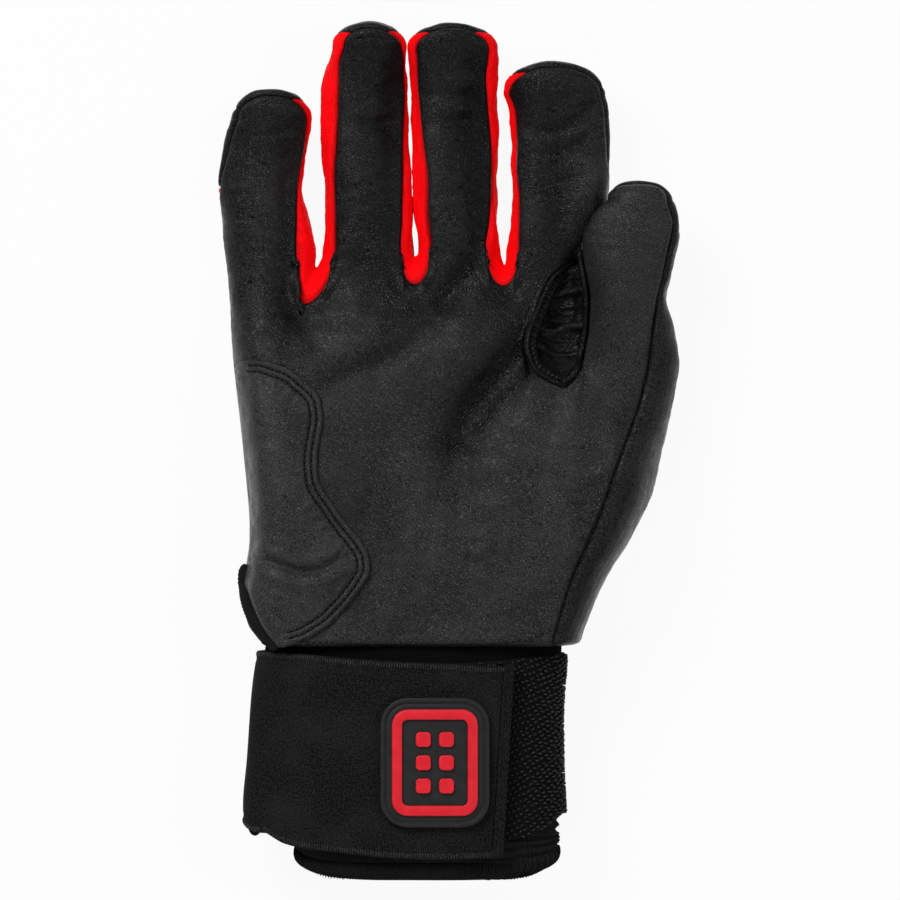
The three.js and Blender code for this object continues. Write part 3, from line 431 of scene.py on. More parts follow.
def cap_rows(finger, front):
    """The round end of a panel, from its last straight row to the rim."""
    start = panel(finger, np.array([finger.cap]), front)[0]
    turn = np.pi * (1 - U)
    last = rim_angle(finger, turn, front)
    rim = rim_point(finger, turn, last)
    edge = np.where(U <= 0.5, *(seam(finger, side, finger.cap, front) for side in (-1, 1)))
    angle = lerp(edge, front * math.pi / 2, 1 - np.abs(2 * U - 1))
    beyond = angle * front < 0
    centre, half, length = cap_size(finger)
    rows = []
    for i in range(1, RINGS + 1):
        ring = lerp(start, rim, i / RINGS)
        ahead = np.maximum(ring[:, 1] - place_y(finger.cap), 0) / length
        middle, depth = tube(finger, share_of(ring[:, 1]))
        ring[:, 2] = middle + front * depth * bulge(np.hypot((ring[:, 0] - centre) / half, ahead))
        round_turn = lerp(np.where(U <= 0.5, np.pi, 0), turn, i / RINGS)
        ring[beyond] = rim_point(finger, round_turn, lerp(angle, last, i / RINGS))[beyond]
        if i == RINGS:
            ring = rim.copy()
        ring[[0, -1]] = start[[0, -1]]
        rows.append(ring)
    return np.array(rows)


def sag_curve(t, web=None):
    """How far a web's edge hangs by place across it; the thumb's web comes to a point."""
    if web is THUMB_WEB:
        return np.minimum(t / 0.6, (1 - t) / 0.4) ** 0.85
    return np.sin(np.pi * t ** (0.62 if web is WEBS[0] else 1)) ** 0.8


def gap_rows(web, front, last):
    """Columns under a web that follow its edge and relax towards the wrist."""
    left, right, reach, _ = web
    t = np.linspace(0, 1, WEB_STEPS + 1)
    shares = shares_of(left)[:last + 1]
    a = panel(left, shares, front)[:, -1]
    b = panel(right, shares_of(right)[:last + 1], front)[:, 0]
    ease = np.clip((np.arange(last + 1) - last + ROOT_STEPS) / ROOT_STEPS, 0, 1)[:, None] ** 1.4
    across = lerp(t, (1 - np.cos(np.pi * t)) / 2, ease)
    points = lerp(a[:, None], b[:, None], across[..., None])
    points[..., 1] -= LENGTH * reach * ease * sag_curve(t, web)
    place = share_of(points[..., 1])
    near_rim = smooth(np.arange(last + 1), last - RIM_STEPS, last)[:, None]
    own = lerp(place, shares[:, None], near_rim)
    free = (freedom(left, own) + freedom(right, own)) / 2
    flat = palm_top(points[..., 0], place) if front > 0 else 0
    points[:, 1:-1, 2] = lerp(flat, points[..., 2], free)[:, 1:-1]
    if front > 0 and web in WEBS:
        points[..., 2] += WEB_LIFT * near_rim * np.sin(np.pi * t) ** 0.6
    return points


def web_rows(web):
    left, right, reach, fold = web
    level, t = np.linspace(0, 1, SIDE_STEPS + 1)[:, None], np.linspace(0, 1, WEB_STEPS + 1)
    a, b = (side_strip(finger, side, [finger.root], 0, 1)[0][:, None] for finger, side in ((left, 1), (right, -1)))
    points = lerp(a, b, ((1 - np.cos(np.pi * t)) / 2)[None, :, None])
    points[..., 1] -= LENGTH * lerp(fold, reach, np.abs(2 * level - 1) ** 1.5) * sag_curve(t, web)
    points[..., 2] += WEB_LIFT * (1 - level) ** 2 * np.sin(np.pi * t) ** 0.6
    return points


def width_parts(low, high):
    """Rows of shares of a strip's width, from low to high."""
    return lerp(np.reshape(low, (-1, 1)), np.reshape(high, (-1, 1)), np.linspace(0, 1, SIDE_STEPS + 1))


def side_strip(finger, side, shares, low, high):
    """Rows of the strip between front and back seam, from share low to share high of its width."""
    shares = np.asarray(shares, float)[:, None]
    angle = lerp(*(seam(finger, side, shares, front) for front in (1, -1)), width_parts(low, high))
    return side_point(finger, side, shares, angle)


def cap_strip(finger, u, low, high):
    turn = np.pi * (1 - np.asarray(u, float))[:, None]
    return rim_point(finger, turn, lerp(*(rim_angle(finger, turn, front) for front in (1, -1)), width_parts(low, high)))


# Materials
LOOKS = {}
SLOT_OF = {"loop_base": "loop_pile", "selvage": "strap_elastic",
           **dict.fromkeys(("lip_leather", "patch_leather", "thread", "pale_thread", "hole"), "black_leather")}


def add_node(tree, kind, inputs=None, **settings):
    node = tree.nodes.new("ShaderNode" + kind)
    for key, value in settings.items():
        setattr(node, key, value)
    for key, value in (inputs or {}).items():
        if isinstance(value, bpy.types.NodeSocket):
            tree.links.new(value, node.inputs[key])
        else:
            node.inputs[key].default_value = value
    return node


class Look:
    """A new material, its tree and its shader, with coordinates in millimetres."""

    def __init__(self, name, roughness, specular):
        self.material = LOOKS[name] = bpy.data.materials.new(name)
        self.material.use_nodes = True
        self.tree = self.material.node_tree
        self.main = self.tree.nodes["Principled BSDF"]
        self.main.inputs["Roughness"].default_value = roughness
        self.main.inputs["Specular IOR Level"].default_value = specular

    def node(self, kind, output, inputs=None, **settings):
        return add_node(self.tree, kind, inputs, **settings).outputs[output]

    def place(self, kind="Object"):
        return self.node("VectorMath", 0, {0: self.node("TexCoord", kind), "Scale": 1 / MM}, operation="SCALE")

    def maths(self, operation, a, b):
        return self.node("Math", 0, {0: a, 1: b}, operation=operation)

    def times(self, a, b):
        return self.maths("MULTIPLY", a, b)

    def plus(self, a, b):
        return self.maths("ADD", a, b)

    def ramp(self, value, low, high, start=0.0, end=1.0):
        inputs = {"Value": value, "From Min": low, "From Max": high, "To Min": start, "To Max": end}
        return self.node("MapRange", "Result", inputs, interpolation_type="SMOOTHSTEP")

    def mix(self, factor, a, b):
        a, b = ((*v, 1) if isinstance(v, tuple) else v for v in (a, b))
        return self.node("Mix", 2, {0: factor, 6: a, 7: b}, data_type="RGBA")

    def noise(self, vector, scale, detail=2.0):
        return self.node("TexNoise", "Fac", {"Vector": vector, "Scale": scale, "Detail": detail})

    def attribute(self, name):
        return self.node("Attribute", "Fac", attribute_name=name)

    def finish(self, colour, height, depth, strength, roughness=None):
        """Links the colour, the roughness and bumps whose height of 1 stands for a depth in millimetres."""
        bump = self.node("Bump", 0, {"Height": height, "Distance": depth * MM, "Strength": strength})
        for value, key in ((colour, "Base Color"), (bump, "Normal"), (roughness, "Roughness")):
            if value is not None:
                self.tree.links.new(value, self.main.inputs[key])


def leather(name, dark, light, gloss):
    """Pebbled leather: rounded cells with dark pores between them, some cells' tops paler, partly random tone and
    partly painted glints, and a soft crinkle.
    """
    look = Look(name, gloss, 0.11)
    place = look.place()
    warp = look.node("TexNoise", "Color", {"Vector": place, "Scale": 0.6, "Detail": 2.0})
    bent = look.node("VectorMath", 0, {0: warp, 1: (1.2, 1.2, 1.2), 2: place}, operation="MULTIPLY_ADD")
    cells = {"Vector": look.node("VectorMath", 0, {0: bent, 1: (1.0, 0.8, 1.0)}, operation="MULTIPLY"), "Scale": 1.45}
    edge = look.node("TexVoronoi", "Distance", cells, feature="DISTANCE_TO_EDGE")
    tint = look.node("TexVoronoi", "Color", cells)
    pebble = look.ramp(edge, 0.0, 0.34)
    worn_and_shaded = look.attribute("wear_and_shade")
    patchy = look.ramp(look.noise(place, 0.06, 3.0), 0.35, 0.68, 0.8, 1.2)
    # The wear_and_shade attribute sets the tone between dark and light: paler where worn, darker where it carries
    # painted shade.
    colour = look.mix(look.times(worn_and_shaded, patchy), dark, light)
    # Paler pebble tops: random tone by cell and painted glints, more of them where the leather is paler.
    pale_tone_and_glint = look.times(look.ramp(tint, 0.45, 0.85), look.times(pebble, look.ramp(worn_and_shaded, -0.1, 0.8)))
    colour = look.mix(look.times(pale_tone_and_glint, 0.55), colour, tuple(1.7 * v for v in light))
    colour = look.mix(look.ramp(edge, 0.12, 0, 0, 0.8), colour, (0.001, 0.001, 0.001))
    look.finish(colour, look.plus(pebble, look.times(look.noise(place, 0.9), 0.6)), 0.1, 0.9,
                look.ramp(look.noise(place, 0.2, 3.0), 0.3, 0.7, gloss - 0.06, gloss + 0.1))


def red_mesh():
    """Stretch mesh; where a black binding covers it, the trim attribute is 1, and lower values along its seams darken
    it as painted shade.
    """
    look = Look("red_mesh", 0.75, 0.06)
    place = look.place()
    holes = look.node("TexVoronoi", "Distance", {"Vector": place, "Scale": 1.7, "Randomness": 0.2})
    yarn = look.ramp(holes, 0.08, 0.5)
    colour = look.mix(yarn, (0.5, 0.0, 0.0008), (0.93, 0.0005, 0.0025))
    colour = look.mix(look.ramp(look.noise(place, 0.1), 0.35, 0.7, 0, 0.3), colour, (0.95, 0.003, 0.008))
    colour = look.mix(look.attribute("trim"), colour, (0.006, 0.006, 0.0065))
    look.finish(colour, look.plus(yarn, look.times(look.noise(place, 3.5), 0.5)), 0.16, 0.8)


def knit(name, scale, dark, light, depth, bent, rough, lines):
    """Knitted cloth: fine courses across the ribs, which are in the mesh, and a fuzzy yarn."""
    look = Look(name, 0.85, 0.1)
    place = look.place("UV")
    courses = look.node("TexWave", "Fac", {"Vector": place, "Scale": scale, "Distortion": bent, "Detail": 2.0},
                        bands_direction="Y")
    wales = look.node("TexWave", "Fac", {"Vector": place, "Scale": scale * 1.3, "Distortion": 0.8}, bands_direction="X")
    stitch = look.plus(look.times(courses, lines[0]), look.times(wales, lines[1]))
    height = look.plus(stitch, look.times(look.noise(place, 1.5, 3.0), rough))
    middle = (sum(lines) + rough) / 2
    colour = look.mix(look.ramp(height, middle - 0.45, middle + 0.45), dark, light)
    paler = look.ramp(look.noise(place, 0.07, 3.0), 0.4, 0.75, 0, 0.35)
    colour = look.mix(paler, colour, tuple(1.5 * v for v in light))
    # The trim attribute darkens the cloth to near black; on the cuff's top it is a painted shadow.
    look.finish(look.mix(look.attribute("trim"), colour, (0.0006, 0.0006, 0.0006)), height, depth, 0.9)


def fibre(name, dark, light, roughness):
    look = Look(name, roughness, 0.15)
    fuzz = look.noise(look.place(), 1.9, 4.0)
    look.finish(look.mix(look.ramp(fuzz, 0.35, 0.7), dark, light), fuzz, 0.08, 0.8)


def rubber(name, dark, light, roughness):
    look = Look(name, roughness, 0.25)
    place = look.place()
    dust = look.noise(place, 0.3, 4.0)
    look.finish(look.mix(look.ramp(dust, 0.35, 0.75), dark, light), look.noise(place, 3.0, 3.0), 0.03, 0.6,
                look.ramp(dust, 0.3, 0.7, roughness - 0.06, roughness + 0.08))


leather("black_leather", (0.0013, 0.0013, 0.0015), (0.0255, 0.026, 0.0267), 0.3)
leather("lip_leather", (0.005, 0.0052, 0.0055), (0.028, 0.0286, 0.0293), 0.28)
leather("patch_leather", (0.0013, 0.0013, 0.0015), (0.033, 0.0336, 0.0343), 0.3)
red_mesh()
knit("ribbed_knit", 0.36, (0.002,) * 3, (0.0125, 0.0125, 0.013), 0.14, 1.2, 1.2, (0.2, 0.5))
knit("strap_elastic", 0.42, (0.0006,) * 3, (0.0138, 0.0138, 0.014), 0.2, 2.0, 3.6, (0.2, 0.7))
fibre("loop_pile", (0.004,) * 3, (0.031, 0.031, 0.032), 0.5)
fibre("loop_base", (0.0008,) * 3, (0.002,) * 3, 0.8)
fibre("hook_tape", (0.003,) * 3, (0.010, 0.010, 0.0105), 0.5)
fibre("thread", (0.0015,) * 3, (0.010, 0.0102, 0.0105), 0.5)
fibre("pale_thread", (0.012, 0.0122, 0.0125), (0.045, 0.046, 0.047), 0.4)
# Near black: the dark inside of a hole, partly its own colour and partly painted shade.
fibre("hole", (0.0005,) * 3, (0.001,) * 3, 0.95)
fibre("selvage", (0.006,) * 3, (0.04, 0.04, 0.041), 0.7)
rubber("badge_black", (0.008, 0.0082, 0.0085), (0.013, 0.0133, 0.0137), 0.6)
rubber("badge_red", (0.6, 0.009, 0.019), (0.7, 0.012, 0.026), 0.5)


def make(name, points, faces, look, body="glove", nodes=(), thickness=0.0, uv=None, wear_and_shade=None, trim=None):
    """A piece from points in millimetres, with a thickness inwards, in a look, riding on a body."""
    mesh = bpy.data.meshes.new(name)
    mesh.from_pydata((np.asarray(points) * MM).tolist(), [], faces)
    mesh.polygons.foreach_set("use_smooth", np.ones(len(mesh.polygons), bool))
    if uv is not None:
        layer = mesh.uv_layers.new(name="cloth")
        corner = np.empty(len(mesh.loops), np.int32)
        mesh.loops.foreach_get("vertex_index", corner)
        layer.data.foreach_set("uv", (np.reshape(uv, (-1, 2))[corner] * MM).ravel())
    for key, values in (("wear_and_shade", wear_and_shade), ("trim", trim)):
        if values is not None:
            mesh.attributes.new(key, "FLOAT", "POINT").data.foreach_set("value", np.asarray(values, np.float32))
    mesh.update()
    piece = bpy.data.objects.new(name, mesh)
    bpy.context.scene.collection.objects.link(piece)
    mesh.materials.append(LOOKS[look])
    if thickness:
        shell = piece.modifiers.new("thickness", "SOLIDIFY")
        shell.thickness, shell.offset = thickness * MM, -1
    if nodes:
        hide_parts(*nodes)
    if body:
        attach(piece, body)
    return piece


# Relief of the leather
def seam_relief(distance, dip, puff, width=1.7):
    """Leather sinks at a sewn edge and swells beside it."""
    return puff * bell(distance - width, 0.8 * width) - dip * bell(distance, 0.3 * width)


def hump(where, margin=0.0):
    """A height along a line: 1 in its middle, falling towards its ends."""
    return np.sin(np.pi * np.clip(where, margin, 1 - margin)) ** 0.5


def edge_pulls(points, quads):
    """How strongly the ends of each edge pull at each other, from the sides of the quads."""
    sides = np.maximum(np.linalg.norm(points[quads] - points[np.roll(quads, -1, 1)], axis=2), 0.04)
    pull = (np.roll(sides, -1, 1) + np.roll(sides, 1, 1)) / (4 * sides)
    a, b = quads.ravel(), np.roll(quads, -1, 1).ravel()
    pull = np.tile(np.where(a == b, 0, pull.ravel()), 2)
    return np.concatenate([a, b]), np.concatenate([b, a]), pull


def corner_pulls(points, quads):
    """How strongly the ends of each edge pull at each other, from the angles of the triangles beside it."""
    corners = np.concatenate([quads[:, [0, 1, 2]], quads[:, [0, 2, 3]]])
    links = []
    for k in range(3):
        i, j, far = np.roll(corners, k, 1).T
        first, second = points[i] - points[far], points[j] - points[far]
        area = np.maximum(np.linalg.norm(np.cross(first, second), axis=1), 0.002)
        weight = np.sum(first * second, 1) / (2 * area)
        links += [(i, j, weight), (j, i, weight)]
    return [np.concatenate(part) for part in zip(*links)]


def settled(values, points, faces, hold, pulls=edge_pulls):
    """Values at the points, settled like a stretched skin between their neighbours' values, and held as hold says."""
    a, b, pull = pulls(points, quads_of(faces))
    total = np.bincount(a, pull, len(points))
    held = hold * np.maximum(total, 0.1)
    own = np.maximum(total, 1e-6) + held
    result = values.copy()
    for column in result.T:
        x = column.copy()
        left = held * x - own * x + np.bincount(a, pull * x[b], len(points))
        way = left / own
        size = left @ way
        for _ in range(400):
            if size < 1e-9:
                break
            pushed = own * way - np.bincount(a, pull * way[b], len(points))
            step = size / (way @ pushed)
            x += step * way
            left -= step * pushed
            after = left @ (left / own)
            way = left / own + after / size * way
            size = after
        column[:] = x
    return result


# Broad forms of the palm side, then its creases
FORMS = list(lines_of("""
-3.8 6.5 562 306 530 342 500 376 474 408 452 442
0.5 8 548 412 515 430 494 470 480 540
-1.1 3 556 394 556 408 546 424
-1 5.5 458 440 462 505 470 560
0.9 11 612 380 575 460 540 560
-1.3 3.6 290 398 340 376 395 356 438 322
0.9 6 322 428 375 402 428 368
-1.4 4 478 250 458 285 430 315
0.7 3 405 300 428 285 448 258
-1.3 3.6 288 150 288 232 284 268 290 308 316 342
1.7 5 432 60 430 180 434 262
-1.6 4.2 474 70 472 180 480 262
1.2 5 346 60 346 160 352 240
-1.2 4 392 50 390 150 388 230
1 4 530 105 529 180 526 250
-1.2 4.2 553 110 556 190 552 262
0.8 5 262 120 262 200 258 300
0.6 5 330 250 350 300 392 330
-0.6 9 350 470 380 520 400 600
0.6 6 628 215 632 300 622 380
1.9 6 608 245 612 300 605 365
2.6 4.2 597 150 594 195 582 236
"""))
CREASES = list(lines_of("""
0.35 1.5 240 128 262 134 285 131 303 124
0.2 1.2 262 104 282 100 303 108
0.45 1.8 342 122 368 127 404 121
0.5 1.8 418 96 440 92 468 97 488 110
0.3 1.5 421 128 450 120 489 122
0.5 1.8 517 118 535 128 560 130 582 115 601 95
0.3 1.6 520 170 545 166 575 152 600 140
0.35 1.3 522 158 552 152 580 142 603 122
0.3 1.5 350 190 372 182 396 168
0.25 1.3 352 206 376 196 400 180
0.25 1.4 424 198 452 190 480 192
0.3 1.1 452 543 468 557 492 571 522 577
0.22 1 468 560 490 578 512 584
0.2 1.1 425 628 460 622 500 616 522 610
0.16 0.9 445 616 480 610 505 605
0.25 1.6 330 340 365 352 398 352
0.2 1.6 470 300 500 296 528 282
"""))

# Where the leather under a web is pulled smooth
SMOOTH_LINES = [[(315, 290), (318, 372)], [(416, 270), (415, 362)], [(501, 270), (503, 362)],
                [(560, 392), (570, 430), (574, 520)]]


def smooth_weight(points, rim_distance):
    distance = np.min([line_distance(points, pixels(*line))[0] for line in SMOOTH_LINES], axis=0)
    return (1 - smooth(distance, 7, 13)) * smooth(rim_distance, 0, 1.5)


def soft_relief(points):
    """Slow unevenness and fine wrinkles that every leather panel has."""
    return 0.22 * swell(points, 26, 1) + 0.1 * swell(points, 9, 2) + 0.045 * swell(points, 3.2, 3, (1.6, 1, 1))


def crease_relief(points, normals):
    total = np.zeros(len(points))
    for line, depth, width in CREASES:
        distance, where = line_distance(points, line)
        near = distance / width
        total += depth * hump(where, 0.02) * (0.55 * bell(near - 1.9, 1.2) - bell(near, 1))
    for line, height, width in FORMS:
        distance, where = line_distance(points, line)
        total += height * hump(where, 0.06) * bell(distance, width)
    return total * np.clip(normals[:, 2] * 1.6, 0, 1)


def leather_piece(name, sheet, aim, away=True, creases=False, dip=0.9, puff=0.26, look="black_leather", extra=None,
                  smooth_webs=False, trim_from=None, worn_and_shaded=0.35):
    """A panel of the skin from its sheet, with relief and sunk edges."""
    points, faces = sheet.merged()
    faces = turned(points, faces, aim, away)
    distance = nearest(points, points[rim_of(faces)])
    if smooth_webs:
        free = smooth_weight(points, distance)
        hold = 0.02 * (1 - free) / (free + 0.00002)
        near, far = (settled(points[:, 2:], points * [1, 1, 0], faces, hold, pulls)
                     for pulls in (edge_pulls, corner_pulls))
        points[:, 2:] = lerp(near, far, smooth(distance, 1, 4)[:, None])
    normals = unit(settled(normals_of(points, faces), points, faces, 0.3))
    relief = soft_relief(points)
    if creases:
        relief = relief + crease_relief(points, normals)
    if extra:
        relief = relief + extra(points, distance)
    height = relief * np.clip(distance / 2, 0, 1) + seam_relief(distance, dip, puff)
    moved = points + normals * height[:, None]
    # wear_and_shade: the base level by place plus a share of the relief, so creases and valleys carry painted shade and
    # ridges a painted highlight.
    wear_and_shade = np.clip((worn_and_shaded(points) if callable(worn_and_shaded) else worn_and_shaded) + 0.22 * relief, 0, 1)
    # On the red mesh, trim puts a painted shade along its sewn edges; past trim_from a black binding covers it.
    trim = 0.4 * bell(distance, 0.7) if look == "red_mesh" else None
    if trim_from is not None:
        trim = np.maximum(trim, points[:, 0] > trim_from)
    make(name, moved, faces, look, nodes=(name,), thickness=LEATHER, wear_and_shade=wear_and_shade, trim=trim)
    return moved, faces


def palm_wear_and_shade(points):
    """How worn the palm side is by place: the palm, heel and thumb more than the fingers; a painted shadow darkens the
    hollow left of the gusset.
    """
    x, share = points[:, 0], share_of(points[:, 1])
    on_thumb = smooth(x - np.maximum(36, 39 + 94 * (share - 0.633)), -2, 2)
    away, where = line_distance(points, FORMS[0][0])
    # Painted shadow along the hollow left of the gusset.
    hollow_shadow = 1 - 0.95 * hump(where, 0.1) * bell(away, 6)
    finger = 0.22 + 0.17 * smooth(-x, 37, 41) + 0.15 * smooth(x, 20, 32)
    palm = lerp(0.82, finger, smooth(share, 0.4, 0.56))
    return hollow_shadow * lerp(palm, lerp(0.56, 1.0, smooth(share, 0.36, 0.5)), on_thumb)


def flex_ribs(points, distance):
    """Accordion ribs of the stretch panel over a knuckle."""
    return 0.45 * np.cos(points[:, 1] * 2 * np.pi / 2.4) * np.clip(distance / 1.5, 0, 1)


# The skin of the hand
def back_of(finger, first, last):
    return panel(finger, shares_of(finger)[first:last + 1], -1)


def palm_sheet():
    sheet = Sheet()
    for finger in FOUR + [THUMB]:
        sheet.grid(np.concatenate([panel(finger, shares_of(finger), 1), cap_rows(finger, 1)]))
    for web in WEBS:
        sheet.grid(gap_rows(web, 1, ROOT_ROW))
    return sheet.grid(low_gap)


def back_sheet():
    sheet = Sheet()
    for finger in FOUR:
        sheet.grid(back_of(finger, 0, FLEX_ROW))
    for web in WEBS + [CROTCH]:
        sheet.grid(gap_rows(web, -1, ROOT_ROW))
    return sheet


def taper(rows):
    return along(TAPER_SHARES, (rows - ROOT_ROW) / FREE_STEPS)


def fourchette_sheet(web):
    sheet = Sheet()
    rows = np.arange(ROOT_ROW, LAST_ROW + 1)
    steps = np.arange(1, ACROSS // 3 + 1)
    ends = U[steps]
    for finger, side in ((web[0], 1), (web[1], -1)):
        strip = side_strip(finger, side, shares_of(finger)[rows], 0, 1 - taper(rows))
        high = 1 - along(CAP_TAPER_SHARES, steps / ACROSS)
        cap = cap_strip(finger, ends if side < 0 else 1 - ends, 0, high)
        sheet.grid(np.concatenate([strip, cap]), side < 0)
    return sheet.grid(web_rows(web))


def back_tip_sheet(finger):
    sheet = Sheet()
    sheet.grid(np.concatenate([back_of(finger, TIP_ROW, LAST_ROW), cap_rows(finger, -1)]), True)
    rows = np.arange(TIP_ROW, LAST_ROW + 1)
    for side in (-1, 1):
        sewn = finger.direct != side
        steps = np.arange(1 if sewn else 0, ACROSS // 2 + 1)
        ends = U[steps]
        low = 1 - along(CAP_TAPER_SHARES, steps / ACROSS) if sewn else np.zeros(len(ends))
        cap = cap_strip(finger, ends if side < 0 else 1 - ends, low, 1)
        if sewn:
            cap = np.concatenate([side_strip(finger, side, shares_of(finger)[rows], 1 - taper(rows), 1), cap])
        sheet.grid(cap, side < 0)
    return sheet


def thumb_back_sheet():
    sheet = Sheet()
    sheet.grid(np.concatenate([back_of(THUMB, 0, LAST_ROW), cap_rows(THUMB, -1)]), True)
    strip = side_strip(THUMB, 1, shares_of(THUMB), 0, 1)
    return sheet.grid(np.concatenate([strip, cap_strip(THUMB, U[ACROSS - 1::-1], 0, 1)]))


def finer(grid, times):
    """A grid with more rows and columns between its own."""
    for axis in (0, 1):
        count = grid.shape[axis]
        at = np.linspace(0, count - 1, (count - 1) * times + 1)
        low = np.minimum(at.astype(int), count - 2)
        share = (at - low).reshape((-1, 1, 1) if axis == 0 else (1, -1, 1))
        grid = lerp(np.take(grid, low, axis), np.take(grid, low + 1, axis), share)
    return grid


# The gusset's opening: its left, right and lower rim
left_rim, right_rim = (panel(finger, shares_of(finger)[PALM_STEPS:ROOT_ROW + 1], 1)[:, column]
                       for finger, column in ((INDEX, -1), (THUMB, 0)))
low_gap = gap_rows(THUMB_WEB, 1, PALM_STEPS)
low_rim = low_gap[-1]


def gusset_sheet():
    u, t = np.linspace(0, 1, ROOT_STEPS + 1)[:, None], np.linspace(0, 1, WEB_STEPS + 1)
    points = lerp(left_rim[:, None], right_rim[:, None], t[None, :, None])
    dish = PALM_DEPTH * 0.24 * np.sin(np.pi * (5 * u + 0.4) / 5.2)
    points[..., 2] -= dish * np.sin(np.pi * t)
    points[0] = low_rim
    crotch = gap_rows(CROTCH, -1, ROOT_ROW)[-1]
    points[:, 1:-1] = lerp(points, crotch[None], smooth(u, 0.78, 1)[..., None])[:, 1:-1]
    points[-1] = crotch
    return Sheet().grid(finer(points, 3))


GATHERS = list(lines_of("""
0.8 0.9 566 268 582 262
0.6 0.7 560 281 582 277
3 1.2 556 294 584 289
0.5 0.7 552 311 582 304
3 1.2 550 331 585 325
-1 1.8 540 350 582 345
1.3 1.6 548 372 576 362
"""))


def shirring(points, distance):
    """Gathers that run across the gusset."""
    total = 0.22 * swell(points, 2.2, 9, (2.6, 1, 1)) - 0.9
    for line, height, width in GATHERS:
        away, where = line_distance(points, line)
        total = total + height * smooth(where, -0.3, 0.7) * bell(away, width)
    return np.clip(distance / 2.5, 0, 1) * total


def loose_mesh(points, distance):
    return 0.35 * swell(points, 10, 12, (1, 1.3, 1))


palm_points, palm_faces = leather_piece("palm_leather", palm_sheet(), (0, 20, -40), creases=True, smooth_webs=True,
                                        worn_and_shaded=palm_wear_and_shade)
leather_piece("back_hand_panel", back_sheet(), (0, 20, 60), smooth_webs=True)
leather_piece("thumb_back_panel", thumb_back_sheet(), (48, 20, 19))
leather_piece("thumb_gusset", gusset_sheet(), (40, 40, 60), away=False, extra=shirring, puff=0, dip=0.3,
              look="lip_leather", worn_and_shaded=0.1)
for web in WEBS:
    middle = BREADTH * (along(web[0].shares, 0.8, 2) + along(web[1].shares, 0.8, 1)) / 2
    leather_piece(f"fourchette_{web[0].name}_{web[1].name}", fourchette_sheet(web), (middle, place_y(0.95), 10),
                  away=False, look="red_mesh", dip=0.4, puff=0.15, extra=loose_mesh)
for finger in FOUR:
    middle, half = span(finger.shares, 0.8)
    inside = (middle, place_y(0.8), 12)
    leather_piece(f"finger_flex_{finger.name}", Sheet().grid(back_of(finger, FLEX_ROW, TIP_ROW)), inside,
                  look="red_mesh", dip=0.2, puff=0.1, extra=flex_ribs,
                  trim_from=middle + half - 2.2 if finger is INDEX else None)
    leather_piece(f"finger_back_tip_{finger.name}", back_tip_sheet(finger), inside)


# Sewing
def tree_of(points, faces):
    return BVHTree.FromPolygons(points.tolist(), faces)


def dropped(tree, plan):
    """Points on a surface straight under plan points, and the normals there."""
    spots, normals = [], []
    for x, y in plan:
        hit, normal, _, _ = tree.ray_cast(Vector((x, y, 200)), Vector((0, 0, -1)))
        if hit is not None:
            spots.append(tuple(hit))
            normals.append(tuple(normal))
    return np.array(spots), np.array(normals)


def tube_mesh(lines, radii, sides=6, flat=1.0):
    """Closed tubes along lines (points and normals), with radii along each."""
    points, faces, count = [], [], 0
    turn = np.linspace(0, 2 * np.pi, sides, endpoint=False)[None, :, None]
    for (line, normal), radius in zip(lines, radii):
        way = unit(np.gradient(line, axis=0))
        side = unit(np.cross(normal, way))
        up = np.cross(way, side)
        ring = side[:, None] * np.cos(turn) + flat * up[:, None] * np.sin(turn)
        points.append((line[:, None] + radius[:, None, None] * ring).reshape(-1, 3))
        faces += cells_of(len(line), sides, count, True).tolist()
        faces += [list(range(count, count + sides))[::-1]]
        count += len(line) * sides
        faces += [list(range(count - sides, count))]
    return np.concatenate(points), faces


def stitches(name, spots, ways, normals, length=1.25, wide=0.26, body="glove", look="thread", sink=0.04):
    """A row of thread stitches that arch over a surface."""
    t = np.linspace(-1, 1, 6)
    lines = []
    for spot, way, normal in zip(spots, ways, normals):
        way = unit(way - normal * (way @ normal))
        arch = spot + way * (t * length / 2)[:, None] + normal * ((0.16 * (1 - t ** 2) - sink)[:, None])
        lines.append((arch, np.repeat(normal[None], len(t), 0)))
    points, faces = tube_mesh(lines, [wide * (1 - 0.75 * np.abs(t) ** 4)] * len(lines))
    return make(name, points, faces, look, body=body)


def stitched(name, tree, line, pitch=1.75, start=0.6, holes=False, **options):
    """Stitches along a plan line over a surface."""
    # With holes, near-black dots between the stitches stand for the needle holes: their dark inside, partly painted
    # shade.
    hole = {"look": "hole", "length": 0.62, "wide": 0.36, "sink": 0.1, "body": options.get("body", "glove")}
    for part, at, chosen in (("", start, options), ("_holes", start + pitch / 2, hole))[:2 if holes else 1]:
        plan, way = evenly(rounded_line(line), pitch, at)
        spots, normals = dropped(tree, plan)
        if len(spots) == len(plan):
            stitches(name + part, spots, np.concatenate([way, 0 * way[:, :1]], 1), normals, **chosen)


def cord(name, line, normal, radius, look, flat, ribs=0.0, rib_pitch=1.0, sides=14):
    """A rolled edge or binding along a line, thinner at its ends."""
    run = run_along(line)
    end = np.minimum(run, run[-1] - run)
    size = radius * np.sqrt(1 - (1 - np.clip((end + 0.15) / (1.6 * radius), 0, 1)) ** 2)
    size = size + ribs * np.cos(2 * np.pi * run / rib_pitch) * (size > 0.9 * radius)
    points, faces = tube_mesh([(line, np.tile(normal, (len(line), 1)))], [size], sides, flat)
    cloth = np.stack([np.tile(np.arange(sides) * radius, len(line)), np.repeat(run, sides)], -1)
    make(name, points, faces, look, uv=cloth)


def leftward(line):
    """Directions to the left of a plan line at its points."""
    way = np.gradient(line, axis=0)
    return unit(np.stack([-way[:, 1], way[:, 0]], -1))


palm_tree = tree_of(palm_points, palm_faces)

# Rolled lips of the gusset's opening
lowest = int(np.argmin(low_rim[:, 1]))
apex = np.array([[*pixels((580.5, 237))[0], left_rim[-1, 2] + 0.6]])
LIP_MIDDLE = np.array(pixels((562, 322))[0])


